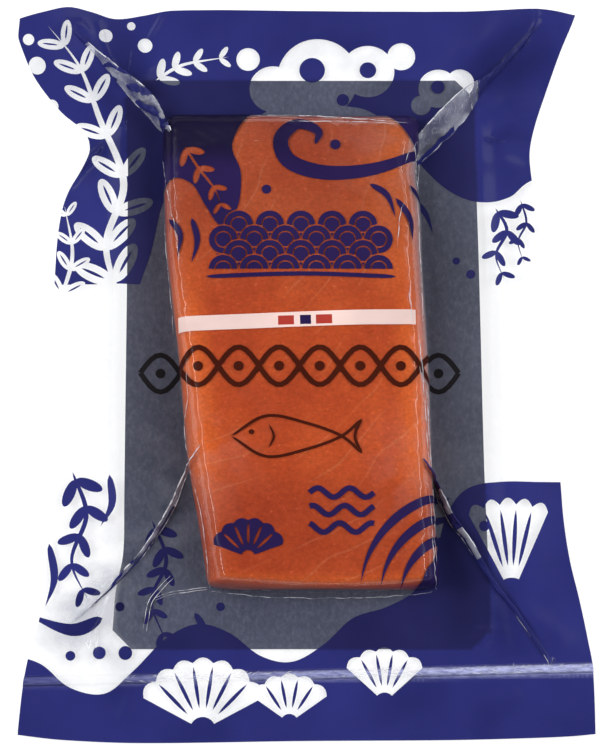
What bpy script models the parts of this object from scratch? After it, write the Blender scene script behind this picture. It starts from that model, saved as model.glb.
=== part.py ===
"""A vacuum pack of smoked salmon, lying on its back.

A piece of salmon lies on a slate-grey board, and both are sealed in a clear pouch. The film is drawn
tight over them, so the shut pack is one solid: the block of fish, the board that curls up along its
long edges, the flat flange where the two films touch, the bead of the seal and four corner folds.

The frame: +Z up, +Y towards the top of the print, the origin under the middle of the pouch.
Lengths are in metres, written as millimetres times MM.
"""
import math

import bmesh
import bpy
from mathutils import Vector

MM = 0.001

# The pouch, a stock bag of about 200 by 260 mm
POUCH_TOP = 130.0 * MM
POUCH_BOTTOM = -130.0 * MM
FLANGE_THICKNESS = 0.8 * MM
FLANGE_MID = 0.9 * MM

# The board
BOARD_THICKNESS = 1.6 * MM
BOARD_TOP = 104.2 * MM
BOARD_BOTTOM = -98.8 * MM
BOARD_CHAMFER = 6.5 * MM
BOARD_CURL = 4.5 * MM
CURL_STARTS = 36.0 * MM
CURL_MIDDLE = 15.0 * MM
CURL_REACH = 105.0 * MM
DRAPE = 2.8 * MM

# The piece of salmon
SALMON_THICKNESS = 19.5 * MM
SALMON_CROWN = 0.9 * MM
SALMON_TOP = 90.0 * MM
SALMON_BOTTOM = -79.6 * MM
SALMON_BOTTOM_BOW = 2.2 * MM
SIDE_RUN = 8.0 * MM
BOTTOM_RUN = 4.0 * MM
TOP_RUN = 17.0 * MM
SHOULDER_POWER = 2.0
CORNER_POWER = 4.0
FILLET = 0.9 * MM

# The bead of the bottom seal
BEAD_Y = -107.5 * MM
BEAD_SLOPE = 0.024
BEAD_WIDTH = 3.4 * MM
BEAD_HEIGHT = 1.3 * MM

# How far each corner of the flange lifts, as (x, y, height, radius)
CORNER_LIFTS = [
    (-98 * MM, 124 * MM, 9.0 * MM, 26 * MM),
    (94 * MM, 124 * MM, 5.0 * MM, 24 * MM),
    (98 * MM, -112 * MM, 2.0 * MM, 24 * MM),
    (-94 * MM, -110 * MM, 1.5 * MM, 24 * MM),
]

# Edges seen from above. Sides are (y, x) and ends are (x, y), in millimetres.
POUCH_LEFT = [(-129, -97.9), (-112, -96.4), (-100, -94.3), (-88, -91), (-74, -89.3), (-50, -88.5),
              (0, -88), (42, -86.7), (56, -85), (64, -82.3), (73, -77.1), (79, -75.3), (85, -77.4),
              (92, -85.6), (105, -95.6), (119, -100.4), (130, -100.2)]
POUCH_RIGHT = [(-129, 101.8), (-105, 101.2), (-96, 99.8), (-82, 97.1), (-68, 93.9), (-54, 91.9),
               (-40, 90.9), (-10, 88.4), (30, 85.4), (44, 85.3), (60, 83.2), (76, 81.5), (86, 83.2),
               (100, 87.8), (120, 94.9), (130, 98.2)]
POUCH_TOP_WAVE = [(-101.8, -6), (-92, -2.8), (-83, -0.3), (-75, -1.6), (-67, -3.6), (-57, -2.1),
                  (-46, 0), (0, -0.1), (60, -0.4), (86, -0.5), (98, -3)]
POUCH_BOTTOM_WAVE = [(-98, 1.8), (-83, 0.1), (-56, -1), (0, -0.3), (50, 0), (76, 0.6), (93, 1.3),
                     (102, 2.1)]
BOARD_LEFT = [(-92, -65.7), (-78, -64.6), (-66, -62.2), (-50, -61.9), (70, -61.7), (100, -63)]
BOARD_RIGHT = [(-92, 65.9), (-73, 65.6), (-34, 64.2), (42, 62.9), (90, 61.9), (100, 62)]
SALMON_LEFT = [(-77, -32.7), (-60, -35.3), (-40, -38.8), (-26, -40.7), (3, -43.3), (28, -46.3),
               (46, -48.2), (90, -49.4)]
SALMON_RIGHT = [(-78, 48.4), (-60, 47.4), (-40, 46.2), (3, 44.8), (38, 42.9), (58, 42.3), (68, 41),
                (78, 42), (90, 43.6)]

# Each fold is a web of film: (root x, root y, edge x, edge y, edge height over the root film)
FOLDS = {
    "top_right": [(38, 70, 36, 71.5, 0.4), (43.5, 74.5, 39.5, 79, 9), (50, 80.5, 46.5, 87.5, 9.5),
                  (56, 86.5, 54, 95.5, 8), (61, 93, 60, 101, 5), (66, 101, 66.4, 105, 3),
                  (76, 112, 76, 113.6, 1.6), (84, 122.5, 84, 123, 0.6)],
    "top_left": [(-46, 81, -45.5, 81.5, 0.4), (-51, 86.5, -48.5, 89, 8.5), (-57, 93, -53, 97, 8),
                 (-65, 102, -60.5, 104, 5.5), (-73, 112, -70.5, 112, 3), (-81, 120, -80.5, 120.5, 0.6)],
    "bottom_left": [(-35, -29, -34.5, -29.5, 0.4), (-39.5, -37, -40.5, -37.5, 5),
                    (-45, -51, -47, -51.5, 5), (-54, -65, -55.6, -64.5, 3.4),
                    (-63, -75, -64, -74.2, 2), (-72, -83.5, -72.5, -83, 1.2),
                    (-80, -90, -80, -89.5, 0.5)],
    "bottom_right": [(42.5, -34, 42, -34, 0.4), (46.5, -41, 47.3, -40.6, 5), (51, -53, 53, -52.2, 4.8),
                     (58, -63, 59.8, -62, 3.6), (66, -76, 67.2, -75, 2.2), (75, -87, 75.8, -86.2, 1.4),
                     (84, -101, 84.5, -100.5, 0.5)],
}
FOLD_HALF_THICKNESS = 0.45 * MM
FOLD_SINK = 0.35 * MM
FOLD_STEPS = 3

# How each stretch of the mesh is divided: fractions of a stretch, from its first edge to its second
WALL_STEPS = (0.0, 0.04, 0.14, 0.32, 0.6, 1.0)
FLANGE_STEPS = (0.0, 0.34, 0.67)
BOARD_STEPS = (0.3, 0.65)
MIDDLE_COLUMNS = 8
MIDDLE_ROWS = 15

NAVY_INK = "#2D3070"


def linear_colour(code):
    """Turn an sRGB hex colour into Blender's linear RGBA."""
    parts = [int(code[i:i + 2], 16) / 255 for i in (1, 3, 5)]
    return [c / 12.92 if c <= 0.04045 else ((c + 0.055) / 1.055) ** 2.4 for c in parts] + [1.0]


def smooth_step(value, start, end):
    """Rise from 0 at start to 1 at end without a kink."""
    t = min(max((value - start) / (end - start), 0.0), 1.0)
    return t * t * (3 - 2 * t)


def smooth_max(a, b, width):
    """The larger of two heights, with a fillet about as wide as width where they meet."""
    h = max(width - abs(a - b), 0.0) / width
    return max(a, b) + h * h * width / 4


def smooth_curve(points):
    """A curve through points given in millimetres, level beyond both of its ends."""
    knots = [(t * MM, value * MM) for t, value in points]
    slopes = []
    for i in range(len(knots)):
        before = knots[max(i - 1, 0)]
        after = knots[min(i + 1, len(knots) - 1)]
        slopes.append((after[1] - before[1]) / (after[0] - before[0]))

    def value_at(t):
        if t <= knots[0][0]:
            return knots[0][1]
        for i in range(len(knots) - 1):
            (t0, v0), (t1, v1) = knots[i], knots[i + 1]
            if t <= t1:
                span = t1 - t0
                s = (t - t0) / span
                rise = v0 * (1 + 2 * s) * (1 - s) ** 2 + v1 * s * s * (3 - 2 * s)
                return rise + span * (slopes[i] * s * (1 - s) ** 2 - slopes[i + 1] * s * s * (1 - s))
        return knots[-1][1]

    return value_at


pouch_left = smooth_curve(POUCH_LEFT)
pouch_right = smooth_curve(POUCH_RIGHT)
pouch_top_wave = smooth_curve(POUCH_TOP_WAVE)
pouch_bottom_wave = smooth_curve(POUCH_BOTTOM_WAVE)
board_left = smooth_curve(BOARD_LEFT)
board_right = smooth_curve(BOARD_RIGHT)
salmon_left = smooth_curve(SALMON_LEFT)
salmon_right = smooth_curve(SALMON_RIGHT)


def salmon_bottom(x):
    """The lower end of the fish bows out in the middle."""
    return SALMON_BOTTOM + SALMON_BOTTOM_BOW * ((x - 8 * MM) / (41 * MM)) ** 2


def salmon_height(x, y):
    """Height of the fish over the board: rounded shoulders, steep sides and a long slope at the top."""
    walls = [(x - salmon_left(y)) / SIDE_RUN, (salmon_right(y) - x) / SIDE_RUN,
             (y - salmon_bottom(x)) / BOTTOM_RUN, (SALMON_TOP - y) / TOP_RUN]
    outside = sum(max(0.0, 1 - wall) ** CORNER_POWER for wall in walls) ** (1 / CORNER_POWER)
    inside = min(max(1 - outside, 0.0), 1.0)
    rise = (1 - (1 - inside) ** SHOULDER_POWER) ** (1 / SHOULDER_POWER)
    across = (x - 0.5 * (salmon_left(y) + salmon_right(y))) / (45 * MM)
    return rise * (SALMON_THICKNESS + SALMON_CROWN * (1 - across * across))


def outside_board(x, y):
    """Distance outside the board's edge, negative on the board."""
    beyond_x = max(board_left(y) - x, x - board_right(y))
    beyond_y = max(BOARD_BOTTOM - y, y - BOARD_TOP)
    chamfer = (beyond_x + beyond_y + BOARD_CHAMFER) / math.sqrt(2)
    return max(beyond_x, beyond_y, chamfer)


def board_lift(x, y):
    """How high the board's underside curls, most along the middle of its long edges."""
    along = math.cos(min(abs(y - CURL_MIDDLE) / CURL_REACH, 1.0) * math.pi / 2)
    edge = 64 * MM
    across = min(max((abs(x) - CURL_STARTS) / (edge - CURL_STARTS), 0.0), 1.0)
    return BOARD_CURL * along * across * across


def flange_mid(x, y):
    """Middle of the two films where they touch: level, with lifted corners and a seal bead."""
    away = max(outside_board(x, y), 0.0)
    height = FLANGE_MID + board_lift(x, y) * math.exp(-away / (30 * MM))
    for corner_x, corner_y, lift, radius in CORNER_LIFTS:
        distance = math.hypot(x - corner_x, y - corner_y) / radius
        height += lift * math.exp(-distance * distance)
    return height


def bead_line(x):
    """Where the seal's bead runs."""
    return BEAD_Y + BEAD_SLOPE * x


def bead_height(x, y):
    """The round back of the bead."""
    across = abs(y - bead_line(x)) / (BEAD_WIDTH / 2)
    return BEAD_HEIGHT * math.sqrt(max(0.0, 1 - across * across))


def film_top(x, y):
    """Upper face of the pack."""
    board = board_lift(x, y) + BOARD_THICKNESS + FLANGE_THICKNESS / 2
    flange = flange_mid(x, y) + FLANGE_THICKNESS / 2 + bead_height(x, y)
    lower = board + (flange - board) * smooth_step(outside_board(x, y), 0.0, DRAPE)
    fish = salmon_height(x, y)
    if fish <= 0:
        return lower
    return smooth_max(lower, board + fish, FILLET)


def film_bottom(x, y):
    """Lower face of the pack: flat under the board, and the back of the flange outside it."""
    board = board_lift(x, y)
    flange = flange_mid(x, y) - FLANGE_THICKNESS / 2
    return board + (flange - board) * smooth_step(outside_board(x, y), 0.0, DRAPE)


def spread(start, end, steps):
    """Places between two edges, at the given fractions."""
    return [start + (end - start) * step for step in steps]


def column_places(y):
    """The x of every column at one height on the pack, from its left edge to its right."""
    wall_left = spread(salmon_left(y), salmon_left(y) + SIDE_RUN, WALL_STEPS)
    wall_right = spread(salmon_right(y), salmon_right(y) - SIDE_RUN, WALL_STEPS)
    board_l, board_r = board_left(y), board_right(y)
    left = spread(pouch_left(y), board_l - DRAPE, FLANGE_STEPS)
    left += [board_l - DRAPE, board_l - DRAPE / 2, board_l]
    left += spread(board_l, wall_left[0] - FILLET, BOARD_STEPS) + [wall_left[0] - FILLET] + wall_left
    right = spread(pouch_right(y), board_r + DRAPE, FLANGE_STEPS)
    right += [board_r + DRAPE, board_r + DRAPE / 2, board_r]
    right += spread(board_r, wall_right[0] + FILLET, BOARD_STEPS) + [wall_right[0] + FILLET] + wall_right
    gap = (right[-1] - left[-1]) / MIDDLE_COLUMNS
    middle = [left[-1] + gap * i for i in range(1, MIDDLE_COLUMNS)]
    return left + middle + right[::-1]


def row_places():
    """The y of every row, from the bottom of the pouch to its top."""
    rows = spread(POUCH_BOTTOM, BEAD_Y - BEAD_WIDTH / 2, (0.0, 0.35, 0.7))
    rows += [BEAD_Y + BEAD_WIDTH / 2 * step for step in (-1.0, -0.8, -0.3, 0.3, 0.8, 1.0)]
    rows += [BOARD_BOTTOM - DRAPE, BOARD_BOTTOM - DRAPE / 2, BOARD_BOTTOM]
    rows += spread(BOARD_BOTTOM, SALMON_BOTTOM - FILLET, (0.35, 0.7)) + [SALMON_BOTTOM - FILLET]
    rows += spread(SALMON_BOTTOM, SALMON_BOTTOM + BOTTOM_RUN, WALL_STEPS)
    first, last = SALMON_BOTTOM + BOTTOM_RUN, SALMON_TOP - TOP_RUN
    rows += [first + (last - first) * i / MIDDLE_ROWS for i in range(1, MIDDLE_ROWS)]
    rows += spread(SALMON_TOP, SALMON_TOP - TOP_RUN, WALL_STEPS)[::-1] + [SALMON_TOP + FILLET]
    rows += [0.5 * (SALMON_TOP + BOARD_TOP), BOARD_TOP, BOARD_TOP + DRAPE / 2]
    rows += spread(BOARD_TOP + DRAPE, POUCH_TOP, (0.0, 0.2, 0.4, 0.6, 0.8, 1.0))
    return rows


def follow_edges(x, y):
    """Shift a row so that it follows the curved edge that it lies on."""
    shift = pouch_top_wave(x) * smooth_step(y, 110 * MM, POUCH_TOP)
    shift += pouch_bottom_wave(x) * smooth_step(-y, 112 * MM, -POUCH_BOTTOM)
    near_bead = smooth_step(-y, 99 * MM, 104 * MM) * (1 - smooth_step(-y, 112 * MM, 125 * MM))
    shift += BEAD_SLOPE * x * near_bead
    near_end = max(0.0, 1 - abs(y - SALMON_BOTTOM) / (15 * MM))
    return y + shift + near_end * (salmon_bottom(x) - SALMON_BOTTOM)


def pack_mesh():
    """Upper and lower faces on one grid, joined round the rim."""
    bm = bmesh.new()
    upper = []
    lower = []
    for row in row_places():
        points = [(x, follow_edges(x, row)) for x in column_places(row)]
        upper.append([bm.verts.new((x, y, film_top(x, y))) for x, y in points])
        lower.append([bm.verts.new((x, y, film_bottom(x, y))) for x, y in points])
    for j in range(len(upper) - 1):
        for i in range(len(upper[0]) - 1):
            bm.faces.new([upper[j][i], upper[j][i + 1], upper[j + 1][i + 1], upper[j + 1][i]])
            bm.faces.new([lower[j][i], lower[j + 1][i], lower[j + 1][i + 1], lower[j][i + 1]])
    for j in range(len(upper) - 1):
        bm.faces.new([upper[j][0], upper[j + 1][0], lower[j + 1][0], lower[j][0]])
        bm.faces.new([upper[j + 1][-1], upper[j][-1], lower[j][-1], lower[j + 1][-1]])
    for i in range(len(upper[0]) - 1):
        bm.faces.new([upper[0][i + 1], upper[0][i], lower[0][i], lower[0][i + 1]])
        bm.faces.new([upper[-1][i], upper[-1][i + 1], lower[-1][i + 1], lower[-1][i]])
    flat = [face for face in bm.faces if all(vert.co.z < 0.001 * MM for vert in face.verts)]
    bmesh.ops.dissolve_faces(bm, faces=flat, use_verts=True)
    bmesh.ops.triangulate(bm, faces=bm.faces)
    return bm


def fold_lines(stations):
    """The root of a fold on the film and its free edge, as smooth lines through its stations."""
    tracks = [smooth_curve([(i / MM, station[k]) for i, station in enumerate(stations)]) for k in range(5)]
    rings = []
    for step in range((len(stations) - 1) * FOLD_STEPS + 1):
        root_x, root_y, edge_x, edge_y, height = [track(step / FOLD_STEPS) for track in tracks]
        root = Vector((root_x, root_y, film_top(root_x, root_y)))
        rings.append((root, Vector((edge_x, edge_y, root.z + height))))
    return rings


def fold_mesh(stations):
    """A thin web that rises from its root in the film to a free edge, narrow at both ends."""
    bm = bmesh.new()
    rings = fold_lines(stations)
    sections = []
    for i, (root, edge) in enumerate(rings):
        along = rings[min(i + 1, len(rings) - 1)][0] - rings[max(i - 1, 0)][0]
        across = along.cross(edge - root).normalized() * FOLD_HALF_THICKNESS
        foot = root - Vector((0, 0, FOLD_SINK))
        sections.append([bm.verts.new(foot - across), bm.verts.new(foot + across),
                         bm.verts.new(edge + across), bm.verts.new(edge - across)])
    for here, there in zip(sections, sections[1:]):
        for k in range(4):
            bm.faces.new([here[k], here[(k + 1) % 4], there[(k + 1) % 4], there[k]])
    bm.faces.new(sections[0][::-1])
    bm.faces.new(sections[-1])
    bmesh.ops.triangulate(bm, faces=bm.faces)
    bmesh.ops.recalc_face_normals(bm, faces=bm.faces)
    return bm


def new_object(name, bm, collection):
    """Turn a bmesh into a named object."""
    mesh = bpy.data.meshes.new(name)
    bm.to_mesh(mesh)
    bm.free()
    mesh.shade_smooth()
    mesh.set_sharp_from_angle(angle=math.radians(40))
    obj = bpy.data.objects.new(name, mesh)
    collection.objects.link(obj)
    return obj


def film_material():
    """Glossy printed film over the contents."""
    material = bpy.data.materials.new("pouch_film")
    material.use_nodes = True
    shader = material.node_tree.nodes["Principled BSDF"]
    shader.inputs["Base Color"].default_value = linear_colour(NAVY_INK)
    shader.inputs["Roughness"].default_value = 0.18
    shader.inputs["Metallic"].default_value = 0.0
    return material


def build():
    """Make the sealed pack and fuse its four corner folds to it."""
    for obj in list(bpy.data.objects):
        bpy.data.objects.remove(obj, do_unlink=True)
    scene_collection = bpy.context.scene.collection
    folds = bpy.data.collections.new("corner_folds")
    scene_collection.children.link(folds)
    for name, stations in FOLDS.items():
        fold = new_object("fold_" + name, fold_mesh(stations), folds)
        fold.hide_render = True
        fold.display_type = "WIRE"
    pack = new_object("sealed_pack", pack_mesh(), scene_collection)
    pack.data.materials.append(film_material())
    union = pack.modifiers.new("corner_folds", "BOOLEAN")
    union.operation = "UNION"
    union.operand_type = "COLLECTION"
    union.collection = folds
    union.solver = "EXACT"


build()
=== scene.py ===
# %% [markdown]
# # A vacuum pack of smoked salmon
#
# This lesson dresses one sealed pack: a piece of fish on a slate-grey board, shut in a clear printed
# pouch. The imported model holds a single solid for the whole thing. Here that solid is replaced by
# what a buyer sees: the film with its print, the fish under it, the board and the folds of film that
# the vacuum leaves at the corners. All lengths are in millimetres until a mesh is made.

import math

import bpy
import numpy as np
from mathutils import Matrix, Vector, kdtree, noise
from mathutils.geometry import delaunay_2d_cdt


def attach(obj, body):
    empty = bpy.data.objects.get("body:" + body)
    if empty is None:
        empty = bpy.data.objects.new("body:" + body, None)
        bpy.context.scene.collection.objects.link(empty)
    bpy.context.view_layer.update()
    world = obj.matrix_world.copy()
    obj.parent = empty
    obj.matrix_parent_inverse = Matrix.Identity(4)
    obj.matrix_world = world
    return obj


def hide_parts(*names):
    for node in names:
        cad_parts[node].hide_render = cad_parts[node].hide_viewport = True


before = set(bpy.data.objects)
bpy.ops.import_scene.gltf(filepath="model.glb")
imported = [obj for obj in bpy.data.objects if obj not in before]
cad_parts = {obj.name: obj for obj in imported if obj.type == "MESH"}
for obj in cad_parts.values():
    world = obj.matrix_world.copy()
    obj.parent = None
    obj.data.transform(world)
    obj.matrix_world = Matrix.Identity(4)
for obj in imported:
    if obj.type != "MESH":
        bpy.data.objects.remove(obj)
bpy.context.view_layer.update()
MM = 0.001

# %% [markdown]
# ## The outlines, seen from above
#
# A pouch that was flat when it was filled is drawn in by the vacuum, so no edge of it is straight.
# Each edge is a smooth curve through a few points that a maker would measure. A side gives x for a
# y, and an end gives how far it waves for an x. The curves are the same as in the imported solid.

# %% Curves through measured points
POUCH_TOP, POUCH_BOTTOM = 130.0, -130.0
POUCH_LEFT = [(-129, -97.9), (-112, -96.4), (-100, -94.3), (-88, -91), (-74, -89.3), (-50, -88.5),
              (0, -88), (42, -86.7), (56, -85), (64, -82.3), (73, -77.1), (79, -75.3), (85, -77.4),
              (92, -85.6), (105, -95.6), (119, -100.4), (130, -100.2)]
POUCH_RIGHT = [(-129, 101.8), (-105, 101.2), (-96, 99.8), (-82, 97.1), (-68, 93.9), (-54, 91.9),
               (-40, 90.9), (-10, 88.4), (30, 85.4), (44, 85.3), (60, 83.2), (76, 81.5), (86, 83.2),
               (100, 87.8), (120, 94.9), (130, 98.2)]
POUCH_TOP_WAVE = [(-101.8, -6), (-92, -2.8), (-83, -0.3), (-75, -1.6), (-67, -3.6), (-57, -2.1),
                  (-46, 0), (0, -0.1), (60, -0.4), (86, -0.5), (98, -3)]
POUCH_BOTTOM_WAVE = [(-98, 1.8), (-83, 0.1), (-56, -1), (0, -0.3), (50, 0), (76, 0.6), (93, 1.3),
                     (102, 2.1)]
BOARD_LEFT = [(-92, -65.7), (-78, -64.6), (-66, -62.2), (-50, -61.9), (70, -61.7), (100, -63)]
BOARD_RIGHT = [(-92, 65.9), (-73, 65.6), (-34, 64.2), (42, 62.9), (90, 61.9), (100, 62)]
SALMON_LEFT = [(-77, -32.7), (-60, -35.3), (-40, -38.8), (-26, -40.7), (3, -43.3), (28, -46.3),
               (46, -48.2), (90, -49.4)]
SALMON_RIGHT = [(-78, 48.4), (-60, 47.4), (-40, 46.2), (3, 44.8), (38, 42.9), (58, 42.3), (68, 41),
                (78, 42), (90, 43.6)]


def smooth_curve(points):
    """A curve through points, level beyond both ends, which takes a number or an array."""
    knots, values = np.array(points, float).T
    slopes = np.gradient(values, knots)
    slopes[1:-1] = (values[2:] - values[:-2]) / (knots[2:] - knots[:-2])

    def value_at(t):
        i = np.clip(np.searchsorted(knots, t) - 1, 0, len(knots) - 2)
        span = knots[i + 1] - knots[i]
        s = np.clip((t - knots[i]) / span, 0, 1)
        level = values[i] * (1 + 2 * s) * (1 - s) ** 2 + values[i + 1] * s * s * (3 - 2 * s)
        return level + span * (slopes[i] * s * (1 - s) ** 2 - slopes[i + 1] * s * s * (1 - s))

    return value_at


def path_curves(path):
    """One smooth curve for each coordinate of a path, over the numbers of its points."""
    return [smooth_curve(list(enumerate(column))) for column in zip(*path)]


def path_length(path):
    """Length of a path as straight pieces."""
    return np.hypot(*np.diff(np.array(path, float), axis=0).T).sum()


pouch_left, pouch_right = smooth_curve(POUCH_LEFT), smooth_curve(POUCH_RIGHT)
pouch_top_wave, pouch_bottom_wave = smooth_curve(POUCH_TOP_WAVE), smooth_curve(POUCH_BOTTOM_WAVE)
board_left, board_right = smooth_curve(BOARD_LEFT), smooth_curve(BOARD_RIGHT)
salmon_left, salmon_right = smooth_curve(SALMON_LEFT), smooth_curve(SALMON_RIGHT)
print("pouch is", round(float(pouch_right(79) - pouch_left(79))), "mm wide at its waist")

# %% [markdown]
# ## The height of everything
#
# Shrunk film is easiest to describe as a height over each point of the plan. The fish has rounded
# shoulders, steep sides and one long slope; the board curls up where the film pulls on its long
# edges; the flange is the two films lying together. A smooth maximum joins them with the small
# fillet that stiff film leaves in a corner.

# %% Heights of fish, board and flange
BOARD_THICKNESS = 1.6
BOARD_TOP, BOARD_BOTTOM, BOARD_CHAMFER = 104.2, -98.8, 6.5
BOARD_CURL, CURL_STARTS, CURL_MIDDLE, CURL_REACH = 4.5, 36.0, 15.0, 105.0
DRAPE = 8.0
HALF_BOARD, HALF_FISH, CURL_FADE = 64, 45, 30
SALMON_THICKNESS, SALMON_CROWN = 19.5, 0.9
SALMON_TOP, SALMON_BOTTOM, SALMON_BOTTOM_BOW = 90.0, -79.6, 2.2
SIDE_RUN, BOTTOM_RUN, TOP_RUN = 8.0, 4.0, 17.0
SHOULDER_POWER, CORNER_POWER = 2.0, 4.0
FLANGE_MID, FILM_GAP = 0.9, 0.12
BEAD_Y, BEAD_SLOPE, BEAD_WIDTH, BEAD_HEIGHT = -107.5, 0.024, 3.4, 1.3
CORNER_LIFTS = [(-98, 124, 9, 26), (94, 124, 5, 24), (98, -112, 2, 24), (-94, -110, 1.5, 24)]


def smooth_step(value, start, end):
    """Rise from 0 at start to 1 at end without a kink."""
    t = np.clip((value - start) / (end - start), 0, 1)
    return t * t * (3 - 2 * t)


def smooth_max(a, b, width):
    """The larger of two heights, with a fillet where they meet."""
    h = np.maximum(width - np.abs(a - b), 0) / width
    return np.maximum(a, b) + h * h * width / 4


def waves(x, y, length, seed):
    """Soft unevenness of about one length: a few sine waves in scattered directions, about -1 to 1."""
    draw = np.random.default_rng(seed)
    total = np.zeros(np.shape(x))
    for _ in range(7):
        angle, phase = draw.uniform(0, 2 * math.pi, 2)
        pitch = 2 * math.pi / (length * draw.uniform(0.7, 1.5))
        total = total + np.sin(pitch * (x * math.cos(angle) + y * math.sin(angle)) + phase)
    return total / 4


def salmon_bottom(x):
    """The lower end of the fish, which bows outwards."""
    return SALMON_BOTTOM + SALMON_BOTTOM_BOW * ((x - 8) / 41) ** 2


def salmon_inside(x, y, inset=0.0):
    """0 at the foot of the fish's wall, 1 where its top begins."""
    walls = [(x - salmon_left(y) - inset) / SIDE_RUN, (salmon_right(y) - x - inset) / SIDE_RUN,
             (y - salmon_bottom(x) - inset) / BOTTOM_RUN, (SALMON_TOP - y - inset) / TOP_RUN]
    outside = sum(np.maximum(0, 1 - wall) ** CORNER_POWER for wall in walls) ** (1 / CORNER_POWER)
    return np.clip(1 - outside, 0, 1)


def salmon_height(x, y, inset=0.0):
    """Height of the fish over the board. Its shoulders are squarer at the upper left and at the right."""
    left = smooth_step(-x, -15, 15)
    power = SHOULDER_POWER + 0.9 * left * smooth_step(y, -30, 40) + 0.5 * (1 - left)
    rise = (1 - (1 - salmon_inside(x, y, inset)) ** power) ** (1 / power)
    across = (x - 0.5 * (salmon_left(y) + salmon_right(y))) / HALF_FISH
    return rise * (SALMON_THICKNESS + SALMON_CROWN * (1 - across * across))


def outside_board(x, y):
    """Distance outside the board's edge, negative on the board."""
    beyond_x = np.maximum(board_left(y) - x, x - board_right(y))
    beyond_y = np.maximum(BOARD_BOTTOM - y, y - BOARD_TOP)
    chamfer = (beyond_x + beyond_y + BOARD_CHAMFER) / math.sqrt(2)
    return np.maximum(np.maximum(beyond_x, beyond_y), chamfer)


def board_lift(x, y):
    """How high the board curls off the shelf."""
    along = np.cos(np.minimum(np.abs(y - CURL_MIDDLE) / CURL_REACH, 1) * math.pi / 2)
    across = np.clip((np.abs(x) - CURL_STARTS) / (HALF_BOARD - CURL_STARTS), 0, 1)
    return BOARD_CURL * along * across ** 2


def flange_mid(x, y):
    """Middle of the two films where they lie together."""
    away = np.maximum(outside_board(x, y), 0)
    height = FLANGE_MID + board_lift(x, y) * np.exp(-away / CURL_FADE)
    for corner_x, corner_y, lift, radius in CORNER_LIFTS:
        height = height + lift * np.exp(-((x - corner_x) ** 2 + (y - corner_y) ** 2) / radius ** 2)
    return height


def bead_height(x, y):
    """The bead of the bottom seal."""
    across = np.abs(y - BEAD_Y - BEAD_SLOPE * x) / (BEAD_WIDTH / 2)
    return BEAD_HEIGHT * np.sqrt(np.maximum(0, 1 - across ** 2))


# %% [markdown]
# ## Creases, wrinkles and slack
#
# Tight film is full of small ridges that run from a corner of the fish towards a corner of the
# pouch. Each is a short path with a width and a height, and adds a soft ridge to the surface. A
# negative height presses a valley. Down the fish's shoulders the film is wrinkled finely, which
# breaks the shine into glints, and the loose flange lies in wide, shallow waves. Beside the folds the
# film is darkened by painted shade, which leaves its shape alone: each patch of it is a path as well,
# with a width and a depth.

# %% Small ridges and valleys in the film
CREASES = [
    ([(-62, 107), (-61, 115), (-59, 123)], 0.9, 0.4),
    ([(-61, 109), (-56, 118), (-52, 124), (-49, 130)], 1.0, 0.5),
    ([(-66, 108), (-70, 117), (-73, 126)], 1.1, 0.5),
    ([(-58, 104), (-57, 114), (-58, 124)], 4.0, -1.2),
    ([(-68, 110), (-66, 118), (-66, 126)], 3.5, -0.9),
    ([(-84, 123), (-79, 124), (-74, 119)], 1.3, 0.6),
    ([(-56, 102), (-46, 108), (-36, 110)], 3.0, 0.7),
    ([(-80, 68), (-76, 74.5), (-69, 81.5)], 0.9, 0.8),
    ([(-82, 64), (-77, 71), (-72, 75)], 0.8, -0.7),
    ([(-74, 73.5), (-71, 80)], 0.6, 0.6),
    ([(-70, 87.2), (-61, 87.6)], 0.5, 0.4),
    ([(-75, 82), (-66, 88), (-58, 90)], 2.6, -0.8),
    ([(67, 104), (73, 110), (79, 115.5), (83, 120), (85, 125), (84.5, 131)], 1.4, 0.8),
    ([(71, 104), (77, 109.5), (83.5, 115.5), (87.5, 122), (88, 130)], 2.6, -1.8),
    ([(60, 112), (68, 119), (76, 128)], 4.5, 0.9),
    ([(42, 96), (50, 104), (57, 114), (62, 128)], 5.0, 0.8),
    ([(64, 90), (74, 95), (86, 97)], 4.0, 0.9),
    ([(66, 84), (76, 86), (86, 84)], 3.0, -0.9),
    ([(65, 82.5), (69, 81.2), (73, 81.5)], 0.6, 0.5),
    ([(64, 72), (72, 74), (80, 72)], 2.4, 0.5),
    ([(-48.5, -77), (-52, -82), (-53.6, -87), (-54.4, -93)], 1.6, 0.9),
    ([(-51, -81.5), (-46, -79.5), (-40, -78.6), (-32, -77.6)], 0.6, 0.5),
    ([(-63, -74), (-70, -79), (-79, -89)], 1.4, 1.1),
    ([(-66, -75), (-76, -81), (-88, -85)], 2.0, -0.9),
    ([(-63, -74), (-68, -84), (-72, -95), (-73, -104)], 1.6, 1.2),
    ([(-66, -80), (-73, -90), (-79, -101)], 1.8, -1.1),
    ([(-62, -77), (-63, -88), (-66, -100)], 2.0, -0.8),
    ([(-70, -78), (-80, -80), (-88, -76)], 1.2, 0.6),
    ([(75, -87), (80, -94), (84.5, -101), (86, -105.5)], 0.7, 0.9),
    ([(86, -105), (87.8, -101)], 0.6, 0.6),
    ([(69, -82), (71, -92), (71, -102)], 2.4, 0.4),
    ([(66, -79), (65, -90), (62, -102)], 2.2, 0.4),
    ([(60, -74), (57, -84), (54, -96)], 2.6, 0.2),
    ([(74, -84), (84, -90), (94, -98)], 4.0, 1.0),
    ([(58, -91), (64, -92), (72, -91)], 1.2, 0.5),
    ([(-30, -131), (-24, -122), (-22, -113)], 2.5, 0.4),
    ([(-64, -124), (-60, -119), (-58, -112)], 2.5, 0.5),
    ([(30, -130), (34, -120), (40, -112)], 4.0, 0.5),
    ([(60, -128), (66, -120), (76, -113)], 4.0, 0.5),
]
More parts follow.
